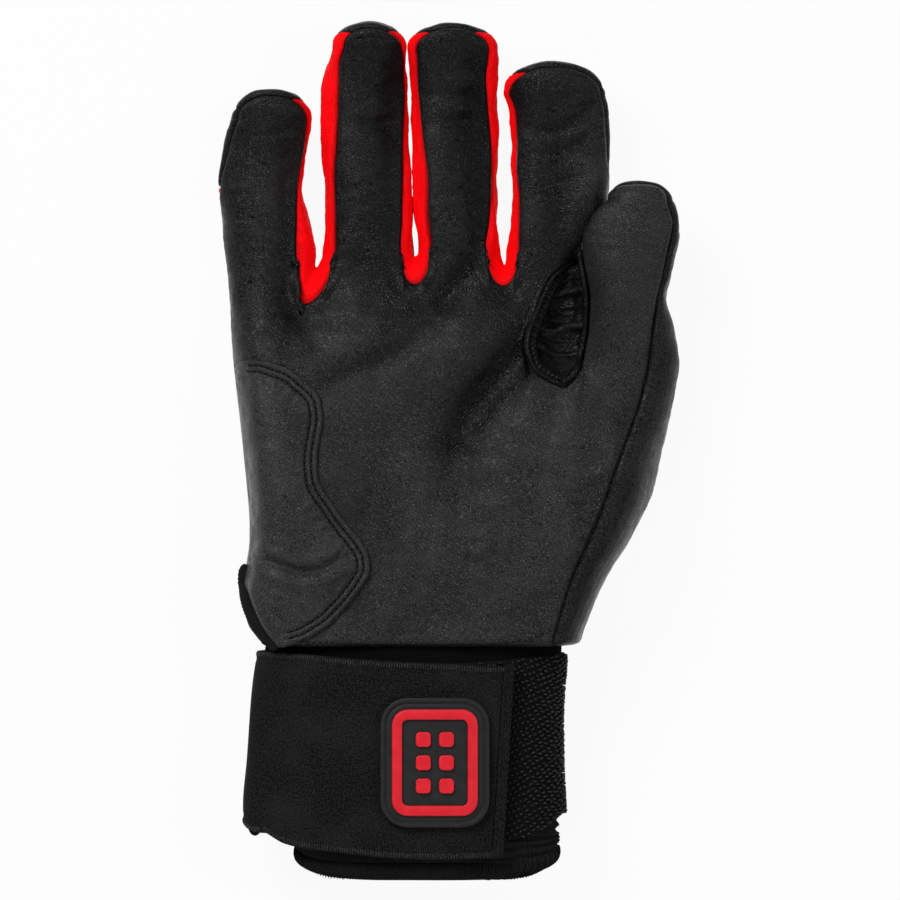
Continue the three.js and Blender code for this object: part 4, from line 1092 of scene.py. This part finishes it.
def lip_line(rim):
    """The rim of the gusset's opening, smoothed, and the way into the opening."""
    line = evenly(np.concatenate([apex, rim]), 0.5)[0]
    for _ in range(25):
        line[1:-1] = (line[:-2] + 2 * line[1:-1] + line[2:]) / 4
    inward = leftward(line[:, :2])
    inward *= np.sign(np.sum(inward * (LIP_MIDDLE - line[:, :2])))
    return line, np.concatenate([inward, 0 * inward[:, :1]], 1)


left_lip, right_lip = (lip_line(np.concatenate([rim[::-1], low]))
                       for rim, low in ((left_rim, low_rim[1:lowest + 2]), (right_rim, low_rim[-2:lowest - 1:-1])))
for name, (line, inward), shift, rise, radius in (("left", left_lip, 0.25, 0.2, 0.62),
                                                  ("right", right_lip, 1.15, 0.45, 0.85)):
    cord(f"gusset_lip_{name}", line + shift * inward + [0, 0, rise], [0.0, 0, 1], radius, "lip_leather", 0.9)

# The folded band inside the left lip, with its sewing, and the one under the right lip
for name, (line, inward), reach, fall in (("left", left_lip, 3.1, 0.45), ("right", right_lip, 2.3, 0.9)):
    steps = np.linspace(0.1, reach, 10)
    wide = np.sin(np.pi * np.clip(np.linspace(0.02, 1.25, len(line)), 0, 1)[:, None]) ** 0.3
    offset = steps * np.where(np.linspace(0, 1, len(line))[:, None] > 0.5, 1, wide)
    points = line[:, None] + inward[:, None] * offset[..., None]
    points[..., 2] -= fall * offset + 0.35 * np.maximum(offset - reach + 0.8, 0) ** 2
    points[..., 2] += 0.1 * np.sin(np.arange(len(line)) * 0.9)[:, None] * np.sin(np.pi * steps / reach)
    flat = points.reshape(-1, 3)
    faces = turned(flat, cells_of(len(line), 10).tolist(), (41, 30, 200), away=False)
    make(f"gusset_band_{name}", flat, faces, "lip_leather", thickness=0.5, wear_and_shade=np.zeros(len(flat)))
    if name == "left":
        band_tree = tree_of(flat, faces)
        rows = ((1.3, slice(14, -6), "thread"), (2.3, slice(18, -6), "thread"), (1.7, slice(-42, -4), "pale_thread"))
        for k, (inset, part, look) in enumerate(rows):
            stitched(f"gusset_stitches_{k + 1}", band_tree, (line + inset * inward)[part, :2], 1.5, 0.6,
                     look == "thread", length=1.0, wide=0.2, look=look)

# Small vent holes in the fingers, each a near-black slit with a pressed rim, its dark partly the hole's dark inside and
# partly painted shade: rings by reach and rise
HOLES = [(264, 163), (252, 217), (250, 282), (376, 86), (371, 184), (368, 250), (457, 140), (461, 187), (461, 254),
         (553, 111), (558, 154), (558, 193), (557, 245)]
HOLE_RINGS = [(1.0, -0.2), (1.0, 0.06), (0.85, 0.09), (0.7, 0.05), (0.0, 0.0)]
HOLE_SIDES = 16


def vent_holes():
    turn = np.linspace(0, 2 * np.pi, HOLE_SIDES, endpoint=False)[:, None]
    points, faces = [], []
    for spot, normal in zip(*dropped(palm_tree, pixels(*HOLES))):
        side = unit(np.cross([0, 1, 0], normal))
        ring = 0.62 * side * np.cos(turn) + 0.4 * np.cross(normal, side) * np.sin(turn)
        faces += cells_of(len(HOLE_RINGS), HOLE_SIDES, len(points) * HOLE_SIDES, True).tolist()
        points += [spot + reach * ring + rise * normal for reach, rise in HOLE_RINGS]
    make("vent_holes", np.concatenate(points), faces, "hole")


vent_holes()

# Rows of thread along the leather's hem
stitched("hem_stitches", palm_tree, pixels((498, 642), (515, 641), (530, 638), (543, 633)), 1.8)
stitched("hem_stitches_long", palm_tree, pixels((300, 641), (350, 642), (400, 643), (450, 643), (498, 642)), 1.8)

# Heel patch: a second layer of leather on the little finger side
PATCH_SHARES = table("""
0 -434  8 -390  20 -354  34 -320  50 -293  72 -260  96 -231  120 -212  144 -215  168 -236  200 -279  232 -316
265 -349  297 -353  329 -346  361 -338  393 -345  412 -365  425 -392  439 -418  449 -448  456 -504""", 2)
PATCH_SIDE, PATCH_STEP, PATCH_HEIGHT = 5, 8, 1.5
PATCH_ROWS, PATCH_COLUMNS = 150, 72
SEWING = (2.1, 3.9)
patch_edge = [(BREADTH * along(PATCH_SHARES, share), place_y(share)) for share in 0.452 * np.linspace(0, 1, 80) ** 1.4]
patch_edge += pixels((262, 359), (248, 358.5), (236, 358.5))


def palm_height(x, share):
    centre, half = span(PINKY.shares, share)
    edge = PALM_DEPTH * along(EDGE_SHARES, share)
    return edge + (palm_top(x, share) - edge) * bulge(np.clip((centre - x) / half, 0, 1))


def heel_patch():
    share = np.linspace(0, PATCH_SHARES[-1][0], PATCH_ROWS + 1)[:, None]
    centre, half = span(PINKY.shares, share)
    slant = np.maximum(PATCH_SIDE, along(PINKY.shares, share, 3) + PATCH_STEP) * DEGREE
    x = lerp(centre - half * round_x(slant), BREADTH * along(PATCH_SHARES, share), crowded(PATCH_COLUMNS, 0.6))
    points, faces = Sheet().grid(stack(x, place_y(share), palm_height(x, share))).merged()
    faces = turned(points, faces, (-45, -20, -30))
    normals = unit(settled(normals_of(points, faces), points, faces, 0.4))
    edge, run = line_distance(points, patch_edge)
    distance = nearest(points, points[rim_of(faces)])
    side = smooth(points[:, 0] - BREADTH * along(PINKY.shares, share_of(points[:, 1]), 1), 0.3, 7)
    rounded = PATCH_HEIGHT * np.sqrt(1 - (1 - np.clip(edge / 1.3, 0, 1)) ** 2) * lerp(0.2, 1, side)
    rows = -0.55 * sum(bell(edge - inset, 0.55) for inset in SEWING)
    padded = 1.1 * smooth(edge, 3.9, 12) * side
    crease, where = line_distance(points, pixels((258, 556), (275, 562), (300, 572), (322, 570), (352, 553)))
    fold = 0.5 * hump(where) * (0.6 * bell(crease - 3, 2) - bell(crease, 1.2))
    second, where = line_distance(points, pixels((264, 568), (300, 580), (326, 578), (346, 566)))
    fold -= 0.22 * hump(where) * bell(second, 0.9)
    pulls = 0.3 * np.cos(run * 110 * 2 * np.pi / 3.5 + swell(points, 14, 8)) * bell(edge - 6.5, 2.6) * side
    relief = rows + padded + 3.0 * fold * np.clip(edge / 4, 0, 1) + pulls + 0.8 * soft_relief(points)
    moved = points + normals * (rounded + relief * np.clip(distance / 1.5, 0, 1) + 0.12 + 0.13 * side)[:, None]
    # Its wear_and_shade follows the relief: painted shade in the sewing grooves and the fold.
    piece = make("palm_heel_patch", moved, faces, "patch_leather", nodes=("palm_heel_patch",),
                 thickness=1.2, wear_and_shade=np.clip(0.92 + relief * 0.2, 0, 1))
    return tree_of(moved, faces)


patch_tree = heel_patch()
for k, inset in enumerate(SEWING):
    sewing = patch_edge + inset * leftward(patch_edge)
    stitched(f"patch_stitches_{k + 1}", patch_tree, sewing[1:-1], 1.75, 0.4 + 0.5 * k, True, wide=0.27, length=1.15)

# The wrist: an oval whose left and right edge follow rows of shares of the breadth
WRIST_SHARES = table("""
0 -488 296  60 -497 295  236 -511 289  494 -524 288  687 -532 295  794 -529 298  914 -524 300""", 3)
CUFF_SHARES = table("""
-60 -489 294  30 -497 291  236 -511 284  494 -524 282  687 -512 285  794 -452 283  858 -424 283  924 -413 284""", 3)
HEM_SHARES = table("930 -416 287  966 -412 282  1000 -390 260", 3)
STRAP_OUT = LAYER_GAP + STRAP_THICKNESS
LOOP_OUT = LAYER_GAP + LOOP_THICKNESS
HOOK_OUT = LOOP_OUT + LAYER_GAP + HOOK_THICKNESS
CUFF_MIDDLE = STRAP_OUT + CUFF_DEPTH / 2
CUFF_CENTRE = (-12, -92, CUFF_MIDDLE)
PRESSED = 0.4
FOLD_TURN = 153 * DEGREE
LOOP_TURNS = (117 * DEGREE, -36 * DEGREE)
BAND_TOP, FOLD_BOTTOM, BACK_BOTTOM, LOOP_BOTTOM = 0.02, 0.8, 0.765, 0.83
FOOT_RISE = 0.07


def place_cuff(share):
    return WRIST_Y - CUFF_LENGTH * share


def curve(value):
    return np.sign(value) * np.abs(value) ** (2 / CUFF_POWER)


def round_wrist(rows, share, turn, out):
    centre, half = span(rows, share)
    under = np.where((turn < 0) | (turn > np.pi), PRESSED, 0)
    z = CUFF_MIDDLE + (CUFF_DEPTH / 2 + out + under) * curve(np.sin(turn))
    return stack(centre + (half + out) * curve(np.cos(turn)), place_cuff(share), np.maximum(z, STRAP_OUT - out))


def uv_of(points):
    """Flat cloth coordinates of a grid: distance round and distance along, in millimetres."""
    across = np.cumsum(np.linalg.norm(np.diff(points, axis=1, prepend=points[:, :1]), axis=-1), axis=1)
    down = np.cumsum(np.linalg.norm(np.diff(points, axis=0, prepend=points[:1]), axis=-1), axis=0)
    return np.stack([across, down], -1)


def grid_piece(name, points, look, aim, relief, closed=False, **options):
    """A piece from one grid of points, with cloth coordinates and a relief along its normals."""
    flat = points.reshape(-1, 3)
    faces = turned(flat, cells_of(*points.shape[:2]).tolist(), aim)
    normals = normals_of(flat, faces)
    if closed:
        grid = normals.reshape(points.shape)
        grid[:, [0, -1]] = grid[:, [0]] + grid[:, [-1]]
        normals = unit(normals)
    flat = flat + normals * np.reshape(relief, (-1, 1))
    make(name, flat, faces, look, uv=uv_of(points), **options)
    return flat, faces


def knit_tube(name, rows, shares, out, thickness, ribs, foot, steps, rib_size, roll=0.0):
    """A ribbed tube round the wrist: ribs is their pitch, foot how far its end follows the slant, roll its bead."""
    turn = np.linspace(0, 2 * np.pi, steps + 1)
    share = shares[:, None]
    points = round_wrist(rows, share, turn, out)
    points[..., 1] += foot(share) * CUFF_LENGTH * FOOT_RISE * (1 - np.abs(np.sin(turn))) ** 1.7
    arc = uv_of(points)[..., 0]
    wale = np.cos(2 * np.pi * np.round(arc[:, -1:] / ribs) * arc / arc[:, -1:])
    down = (share - share[0]) / (share[-1] - share[0]) * np.ones_like(arc)
    soft = 0.3 * swell(points.reshape(-1, 3), 17, 5, (1, 2.5, 1)).reshape(arc.shape)
    folds = 0.7 * np.sin(CUFF_LENGTH * share / 0.46 + 1.5 * np.sin(turn)) * smooth(share, 0.72, 0.78)
    folds = folds * smooth(np.cos(turn), 0.1, 0.7) * (0 if roll else 1)
    bead = roll * (np.sin(np.pi * np.clip(down, 0, 1)) ** 0.6 - 1)
    # The cuff's top end is darkened to near black through trim: a painted shadow in the band between the leather's hem
    # and the strap.
    grid_piece(name, points, "ribbed_knit", CUFF_CENTRE, rib_size * wale + soft * 0.8 + folds + bead, nodes=(name,),
               thickness=thickness, closed=True, trim=np.ravel(smooth(-share, -0.14, -0.07) * np.ones_like(arc)))


knit_tube("cuff_sleeve", CUFF_SHARES, np.linspace(-0.06, 0.924, 110), 0, CUFF_THICKNESS, 1.5,
          lambda share: smooth(share, 0.794, 0.924), 900, 0.13)
knit_tube("cuff_hem", HEM_SHARES, np.linspace(0.925, 1, 16), (HEM_THICKNESS - CUFF_THICKNESS) / 2, HEM_THICKNESS, 0.95,
          np.ones_like, 1200, 0.3, 0.9)

# Loop panel: its base, and knitted loops in slanting rows all over it
LOOP_ROWS, LOOP_COLUMNS, PILE = 61, 181, 0.85
PILE_ROW, PILE_PITCH, PILE_SLANT = 1.75, 1.6, 0.29


def loop_panel():
    turn = np.linspace(*LOOP_TURNS, LOOP_COLUMNS)
    top, bottom = lerp(0.03, 0.085, smooth(turn, 0, 2)), lerp(0.72, LOOP_BOTTOM, smooth(turn, 0.1, 1.05))
    share = lerp(top, bottom, np.linspace(0, 1, LOOP_ROWS)[:, None])
    points = round_wrist(WRIST_SHARES, share, turn, LOOP_OUT - PILE)
    return grid_piece("loop_panel", points, "loop_base", CUFF_CENTRE, 0.12 * swell(points.reshape(-1, 3), 22, 6),
                      nodes=("loop_panel",), thickness=LOOP_THICKNESS - PILE)


def loop_pile(points, faces):
    rng = np.random.default_rng(21)
    grid = points.reshape(LOOP_ROWS, LOOP_COLUMNS, 3)
    normals = normals_of(points, faces).reshape(grid.shape)
    cloth = uv_of(grid)
    middle = cloth[LOOP_ROWS // 2, :, 0]
    wide, tall = middle[-1], cloth[..., 1].max()
    t = np.linspace(0, np.pi, 6)
    lines = []
    for row in range(int((tall + PILE_SLANT * wide) / PILE_ROW) + 2):
        for column in range(int(wide / PILE_PITCH)):
            across = (column + 0.5 * (row % 2) + 0.25) * PILE_PITCH + rng.normal(0, 0.12)
            down = row * PILE_ROW - PILE_SLANT * across + 0.2 * math.sin(across * 0.7 + row) + rng.normal(0, 0.1)
            if not 0.2 < down < tall - 0.2:
                continue
            i, j = down / tall * (LOOP_ROWS - 1), np.interp(across, middle, np.arange(LOOP_COLUMNS))
            if j >= LOOP_COLUMNS - 1:
                continue
            a, b = int(i), int(j)
            spot = lerp(*(lerp(grid[k, b], grid[k, b + 1], j - b) for k in (a, a + 1)), i - a)
            normal = normals[a, b]
            side = unit(np.cross(normal, [0, 1, 0]))
            turn = rng.normal(-0.28, 0.3)
            way = side * math.cos(turn) + np.cross(side, normal) * math.sin(turn)
            size, rise = rng.uniform(0.3, 0.42), rng.uniform(0.8, 1.05)
            arch = spot + way * (size * np.cos(t))[:, None] + normal * (rise * np.sin(t) - 0.08)[:, None]
            lines.append((arch, np.repeat(np.cross(way, normal)[None], len(t), 0)))
    make("loop_pile", *tube_mesh(lines, [np.full(len(t), 0.34)] * len(lines), 5), "loop_pile")


loop_pile(*loop_panel())

# The front of the strap, laid out in plan: top and bottom edge by place across the breadth
TOP_SHARES = [(-0.479, BAND_TOP), (-0.442, 0.026), (-0.375, 0.034), (-0.295, 0.047), (-0.134, 0.064), (0, 0.073),
              (0.134, 0.084), (0.174, 0.069)]
BOTTOM_SHARES = [(-0.493, FOLD_BOTTOM), (-0.442, 0.845), (-0.375, 0.867), (-0.295, 0.88), (-0.134, 0.906), (0, 0.91),
                 (0.142, 0.901)]
END_TOP, END_BOTTOM = BREADTH * 0.174, BREADTH * 0.142
HINGE, HOOK_START, SPLIT = -0.215, -0.19, -0.37
LOOP_RISE, HOOK_RISE = (-0.47, -0.36), -0.32
FOLD_TOP, FOLD_LOW = (round_wrist(WRIST_SHARES, share, FOLD_TURN, STRAP_OUT)[0] for share in (BAND_TOP, FOLD_BOTTOM))


def strap_height(x, share, lift_by):
    centre, half = span(WRIST_SHARES, share)
    across = x / BREADTH
    far = STRAP_OUT + LOOP_OUT * smooth(across, *LOOP_RISE) + (HOOK_OUT - LOOP_OUT) * smooth(across, HOOK_RISE, HINGE)
    reach = np.abs(x - centre) / (half + far + lift_by)
    return CUFF_MIDDLE + (CUFF_DEPTH / 2 + far + lift_by) * bulge(reach, CUFF_POWER)


def run_of(share):
    return (BREADTH * share - FOLD_TOP) / (END_TOP - FOLD_TOP)


def strap_face(run, across, lift_by=0.0):
    """A point of the strap's face: run 0 is the fold and 1 the free end, across 0 the top edge."""
    top, bottom = lerp(FOLD_TOP, END_TOP, run), lerp(FOLD_LOW, END_BOTTOM, run)
    share = lerp(along(TOP_SHARES, top / BREADTH), along(BOTTOM_SHARES, bottom / BREADTH), across)
    x = lerp(top, bottom, across)
    return stack(x, place_cuff(share), strap_height(x, share, lift_by))


def slab(name, face, thickness, look, body=None, nodes=(), edge=0.45, ribs=0.0, away=None, soft_size=0.12, part=None):
    """A cloth slab with rounded edges: its face as a grid, its thickness along the normals; part keeps some rows."""
    rows, columns = face.shape[:2]
    cloth = uv_of(face)
    across, down = cloth[..., 0], cloth[..., 1]
    from_edge = np.minimum(across, across[:, -1:] - across)
    inside = np.minimum(from_edge, np.minimum(down, down[-1:] - down))
    flat = face.reshape(-1, 3)
    cells = turned(flat, cells_of(rows, columns).tolist(), away or flat.mean(0) - [0, 0, 60])
    normals = normals_of(flat, cells).reshape(face.shape)
    drop = edge * (1 - np.sqrt(1 - (1 - np.clip(inside / 0.9, 0, 1)) ** 2))
    soft = soft_size * swell(flat, 19, 7).reshape(rows, columns) * np.clip(inside / 3, 0, 1)
    soft += ribs * (bell(from_edge - 1.3, 0.9) - bell(from_edge - 2.9, 0.5))
    first, last = part or (0, rows - 1)
    kept = slice(first, last + 1)
    top, bottom = (face + normals * rise[..., None] for rise in (soft - drop, soft - thickness + drop))
    low, count = first * columns, (last + 1 - first) * columns
    cells = [[k - low for k in cell] for cell in cells if min(cell) >= low and max(cell) < low + count]
    index = np.arange(count).reshape(-1, columns)
    rim = np.concatenate([index[0, :-1], index[:-1, -1], index[-1, :0:-1], index[:0:-1, 0]])
    faces = cells + [[k + count for k in cell[::-1]] for cell in cells]
    known = {(cell[k], cell[(k + 1) % 4]) for cell in cells for k in range(4)}
    for a, b in zip(rim.tolist(), np.roll(rim, -1).tolist()):
        cut = (first > 0 and max(a, b) < columns) or (last < rows - 1 and min(a, b) >= count - columns)
        if not cut:
            faces.append([b, a, a + count, b + count] if (a, b) in known else [a, b, b + count, a + count])
    points = np.concatenate([top[kept].reshape(-1, 3), bottom[kept].reshape(-1, 3)])
    uv = np.concatenate([cloth[kept][..., ::-1]] * 2)
    return make(name, points, faces, look, body=body, nodes=nodes, uv=uv), (top[kept], cells)


# The strap's two lengths of elastic: round the wrist to past the fold, and from there to the end
BACK_STEPS, WRAP_STEPS = 189, 49
across_strap = crowded(70, 0.3)
hem_run = 1 - END_HEM_WIDTH / (END_TOP - FOLD_TOP)
turn_back = np.linspace(2 * np.pi + LOOP_TURNS[1], FOLD_TURN, BACK_STEPS + 1)[:-1, None]
low_back = lerp(FOLD_BOTTOM, BACK_BOTTOM, smooth(turn_back, FOLD_TURN, np.pi))
runs = np.concatenate([np.linspace(0, run_of(SPLIT), WRAP_STEPS + 1), np.linspace(run_of(SPLIT), hem_run, 260)[1:]])
whole = np.concatenate([round_wrist(WRIST_SHARES, lerp(BAND_TOP, low_back, across_strap), turn_back, STRAP_OUT),
                        strap_face(runs[:, None], across_strap)])
split_row = BACK_STEPS + WRAP_STEPS
strap_wrap, wrap_top = slab("strap_wrap", whole, STRAP_THICKNESS, "strap_elastic", nodes=("strap_back", "strap_front"),
                            ribs=0.14, away=CUFF_CENTRE, part=(0, split_row))
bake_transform(strap_wrap)
strap_reach, strap_top = slab("strap_reach", whole, STRAP_THICKNESS, "strap_elastic", nodes=("strap_tip",), ribs=0.14,
                              away=CUFF_CENTRE, part=(split_row, len(whole) - 1))
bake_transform(strap_reach)


def selvage(name, top, first):
    """Yarn ends that wrap over both long edges of a strap's face."""
    grid, cells = top
    normals = normals_of(grid.reshape(-1, 3), cells).reshape(grid.shape)
    spots, ways, ups = [], [], []
    for inner, outer in ((9, 1), (-10, -2)):
        rows = np.concatenate([grid[first:, outer], grid[first:, inner], normals[first:, inner]], 1)
        rows, _ = evenly(rows, 1.08, 0.4)
        ways.append(unit(rows[:, :3] - rows[:, 3:6]))
        spots.append(rows[:, :3] - 0.55 * ways[-1])
        ups.append(unit(rows[:, 6:]))
    return stitches(name, *map(np.concatenate, (spots, ways, ups)), length=1.7, wide=0.27, body=None, look="selvage",
                    sink=0.0)


wrap_ends = selvage("strap_wrap_selvage", wrap_top, 20)
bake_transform(wrap_ends)
reach_ends = selvage("strap_reach_selvage", strap_top, 1)
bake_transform(reach_ends)

hem_face = strap_face(np.linspace(hem_run, 1, 16)[:, None], across_strap, 0.7)
_, hem_top = slab("strap_end_hem", hem_face, STRAP_THICKNESS + 0.7, "strap_elastic", "strap_end", ("strap_end_hem",),
                  edge=0.7, soft_size=0.05)
hook_face = strap_face(np.linspace(run_of(HOOK_START), hem_run, 40)[:, None], np.linspace(0.06, 0.94, 60),
                       -STRAP_THICKNESS - LAYER_GAP)
_, hook_top = slab("strap_hook_pad", hook_face, HOOK_THICKNESS - 0.5, "hook_tape", "strap_end", ("strap_hook_pad",),
                   edge=0.15, soft_size=0.0)


def hooks(grid):
    """Rows of small bent hooks under the tip's pad."""
    bend = np.array([(0, 0, 0.1), (0, 0, -0.3), (0.08, 0, -0.44), (0.26, 0, -0.5), (0.38, 0, -0.42)])
    lines = [(grid[i, j] - [0, 0, HOOK_THICKNESS - 0.5] + bend, np.repeat([[0.0, 1, 0]], len(bend), 0))
             for i in range(1, grid.shape[0] - 1, 2) for j in range(1 + i // 2 % 2, grid.shape[1] - 1, 2)]
    radius = np.array([0.16, 0.14, 0.13, 0.12, 0.09])
    make("hook_field", *tube_mesh(lines, [radius] * len(lines), 4), "hook_tape", body="strap_end")


hooks(hook_top[0])

# Sewing of the end hem: two rows along it and bars at its corners
hem_tree, strap_tree = (tree_of(grid.reshape(-1, 3), cells) for grid, cells in (hem_top, strap_top))
for k, share in enumerate((0.2, 0.85)):
    ends = [strap_face(lerp(hem_run, 1, share), t)[:2] for t in np.linspace(0.02, 0.98, 30)]
    stitched(f"hem_row_{k + 1}", hem_tree, ends, 1.7, 0.3, body="strap_end", wide=0.2)
for k, across in enumerate((0.03, 0.06, 0.95, 0.98)):
    bar = [strap_face(run, across)[:2] for run in np.linspace(hem_run - 0.06, hem_run - 0.003, 8)]
    stitched(f"end_bar_{k + 1}", strap_tree, bar, 0.8, 0.1, body="strap_end", length=0.9, wide=0.22)

# Badge: a plain rubber plate with a raised frame and rows of studs, from loops by (inset, height over the strap)
BADGE_AT = (BREADTH * -0.04, place_cuff(0.494))
PLATE_TOP = LAYER_GAP + BADGE_THICKNESS
RAISED_BASE, RAISED_TOP, BEVEL = PLATE_TOP - 0.6, PLATE_TOP + 0.55, 0.3
RIM_STEP, RIM_WIDTH, GROOVE = 0.35, 1.3, 0.25
PLATE = [(0, 0), (0, PLATE_TOP - 0.3), (0.1, PLATE_TOP - 0.1), (0.3, PLATE_TOP), (RIM_WIDTH - 0.2, PLATE_TOP),
         (RIM_WIDTH, PLATE_TOP - 0.1), (RIM_WIDTH + 0.1, PLATE_TOP - RIM_STEP - GROOVE),
         (RIM_WIDTH + 0.55, PLATE_TOP - RIM_STEP - GROOVE), (RIM_WIDTH + 0.75, PLATE_TOP - RIM_STEP),
         (RIM_WIDTH + 1.2, PLATE_TOP - RIM_STEP)]
OUTER = [(0, RAISED_BASE), (0, RAISED_TOP - BEVEL), (BEVEL * 0.4, RAISED_TOP - BEVEL * 0.3), (BEVEL, RAISED_TOP)]
FRAME = OUTER + [(FRAME_WIDTH / 2, RAISED_TOP)] + [(FRAME_WIDTH - inset, out) for inset, out in OUTER[::-1]]
STUD = OUTER[:2] + [(BEVEL * (1 - math.cos(turn * DEGREE)), RAISED_TOP - BEVEL * (1 - math.sin(turn * DEGREE)))
                    for turn in (30, 60, 90)]


def rounded_loop(width, height, corner, steps=10):
    points = []
    for k, (sx, sy) in enumerate(((1, 1), (-1, 1), (-1, -1), (1, -1))):
        turn = np.linspace(k * 90, k * 90 + 90, steps) * DEGREE
        points.append(np.stack([sx * (width / 2 - corner) + corner * np.cos(turn),
                                sy * (height / 2 - corner) + corner * np.sin(turn)], -1))
    loop = np.concatenate(points + [points[0][:1]])
    run = run_along(loop)
    return np.stack([np.interp(np.linspace(0, run[-1], 96, endpoint=False), run, column) for column in loop.T], -1)


def moulded(name, size, profile, centre, look, filled=True):
    """A moulded piece over the strap from a rounded rectangle's size and a profile."""
    loops = [(rounded_loop(size[0] - 2 * inset, size[1] - 2 * inset, size[2] - inset), out) for inset, out in profile]
    if filled:
        inner, out = loops[-1]
        loops += [(inner * share, out) for share in (0.8, 0.6, 0.4, 0.2, 0.0)]
    points = []
    for loop, out in loops:
        x, y = (loop + centre).T
        points.append(stack(x, y, strap_height(x, (WRIST_Y - y) / CUFF_LENGTH, out)))
    flat = np.concatenate(points)
    faces = cells_of(len(loops), len(points[0]), closed=True).tolist()
    if face_sums(flat, faces)[0][:, 2].sum() < 0:
        faces = [face[::-1] for face in faces]
    make(name, flat, faces, look, body="strap_end", nodes=(name,))


moulded("badge_plate", BADGE_SIZE, PLATE, BADGE_AT, "badge_black")
frame_size = [side - FRAME_INSET * share for side, share in zip(BADGE_SIZE, (2, 2, 1))]
moulded("badge_frame", frame_size, FRAME, BADGE_AT, "badge_red", False)
for k in range(6):
    spot = (BADGE_AT[0] + STUD_PITCH * (k % 2 - 0.5), BADGE_AT[1] - STUD_PITCH * (k // 2 - 1))
    moulded(f"badge_stud_{k + 1}", STUD_SIZE, STUD, spot, "badge_red")

# The slit's binding: a ribbed roll over its edge and the strip below it
BINDING = pixels((246, 564), (243.5, 574), (243.5, 586), (246, 600), (250, 612), (256, 624), (263, 634), (272, 643),
                 (279, 647))
plan = evenly(rounded_line(BINDING), 0.25)[0]
share = np.clip(share_of(plan[:, 1]), 0, 1)
inner_x = np.maximum(plan[:, 0], BREADTH * along(PINKY.shares, share, 1) + 0.4)
roll = np.concatenate([plan, palm_height(inner_x, share)[:, None] + 0.2], 1)
cord("vent_binding_roll", roll, [-0.5, -0.2, 0.85], 1.75, "ribbed_knit", 0.75, ribs=0.1, rib_pitch=1.1)
binding = side_strip(PINKY, -1, np.linspace(0, 0.12, 60), 0, 1)
grid_piece("vent_binding_strip", binding, "ribbed_knit", (-40, -45, 15), 0.12 * np.cos(binding[..., 1] * 5.5) - 0.3,
           nodes=("vent_binding",), thickness=LEATHER)

# Rounded tongue under the strap's lower corner
turn = np.linspace(-80, 80, 25) * DEGREE
down = np.linspace(-1.5, 1, 14)[:, None]
corner_tab = stack(BREADTH * -0.543 + 2.2 * (1 + np.sin(turn)),
                   place_cuff(BACK_BOTTOM) - np.where(down > 0, down * 3.6 * np.cos(turn), down), CUFF_MIDDLE + 0.7)
slab("strap_corner_tab", corner_tab, 1.4, "strap_elastic", "glove", ("strap_corner_tab",), 0.3)

# Floor, light and camera
FLOOR_SIZE, FLOOR_LEVEL, GLOW = 3.0, -0.8, 0.93
CAMERA_HEIGHT, MEAN_HEIGHT, SENSOR = 3.0, 18 * MM, 36


def floor():
    """A floor that the camera sees as paper white, and that can't be seen from below."""
    bpy.ops.mesh.primitive_plane_add(size=FLOOR_SIZE)
    plane = bpy.context.object
    plane.location.z = FLOOR_LEVEL * MM
    plane.name = "floor"
    look = Look("floor", 0.9, 0.0)
    look.main.inputs["Base Color"].default_value = (0.7, 0.7, 0.7, 1)
    rays = add_node(look.tree, "LightPath").outputs
    seen = look.maths("MAXIMUM", rays["Is Glossy Ray"], rays["Is Transmission Ray"])
    seen = look.maths("MAXIMUM", rays["Is Camera Ray"], seen)
    glow = look.node("Emission", 0, {"Color": (1, 1, 1, 1), "Strength": 1.0})
    blend = look.node("MixShader", 0, {0: look.times(seen, GLOW), 1: look.main.outputs[0], 2: glow})
    clear = look.maths("MAXIMUM", look.node("NewGeometry", "Backfacing"), rays["Is Shadow Ray"])
    under = look.node("MixShader", 0, {0: clear, 1: blend, 2: look.node("BsdfTransparent", 0)})
    look.tree.links.new(under, look.tree.nodes["Material Output"].inputs["Surface"])
    plane.data.materials.append(look.material)


def area_light(name, place, width, height, power):
    """A light that aims at the origin."""
    light = bpy.data.lights.new(name, "AREA")
    light.shape, light.size, light.size_y, light.energy = "RECTANGLE", width, height, power
    lamp = bpy.data.objects.new(name, light)
    lamp.location = place
    lamp.rotation_euler = (-Vector(place)).to_track_quat("-Z", "Y").to_euler()
    bpy.context.scene.collection.objects.link(lamp)


floor()
area_light("key", (-0.55, 0.75, 0.95), 0.6, 0.6, 15.5)
area_light("fill", (0.85, 0.1, 0.95), 0.7, 0.7, 5)
area_light("front", (-0.2, -0.95, 0.8), 0.9, 0.5, 4.5)
area_light("under", (0.15, 0.3, -1.1), 0.9, 0.9, 4.5)
world = bpy.data.worlds.new("studio")
world.use_nodes = True
sky = world.node_tree.nodes["Background"]
sky.inputs[0].default_value = (1, 1, 1, 1)
ray = add_node(world.node_tree, "LightPath").outputs["Is Camera Ray"]
shown = add_node(world.node_tree, "MapRange", {"Value": ray, "To Min": 0.15, "To Max": 1.0})
world.node_tree.links.new(shown.outputs["Result"], sky.inputs[1])
bpy.context.scene.world = world
bpy.context.scene.view_settings.view_transform = "Standard"

camera_data = bpy.data.cameras.new("camera")
camera_data.sensor_width = SENSOR
camera_data.lens = SENSOR * (CAMERA_HEIGHT - MEAN_HEIGHT) / (IMAGE * PIXEL * MM)
camera = bpy.data.objects.new("camera", camera_data)
camera.location = (0, 0, CAMERA_HEIGHT)
bpy.context.scene.collection.objects.link(camera)
bpy.context.scene.camera = camera
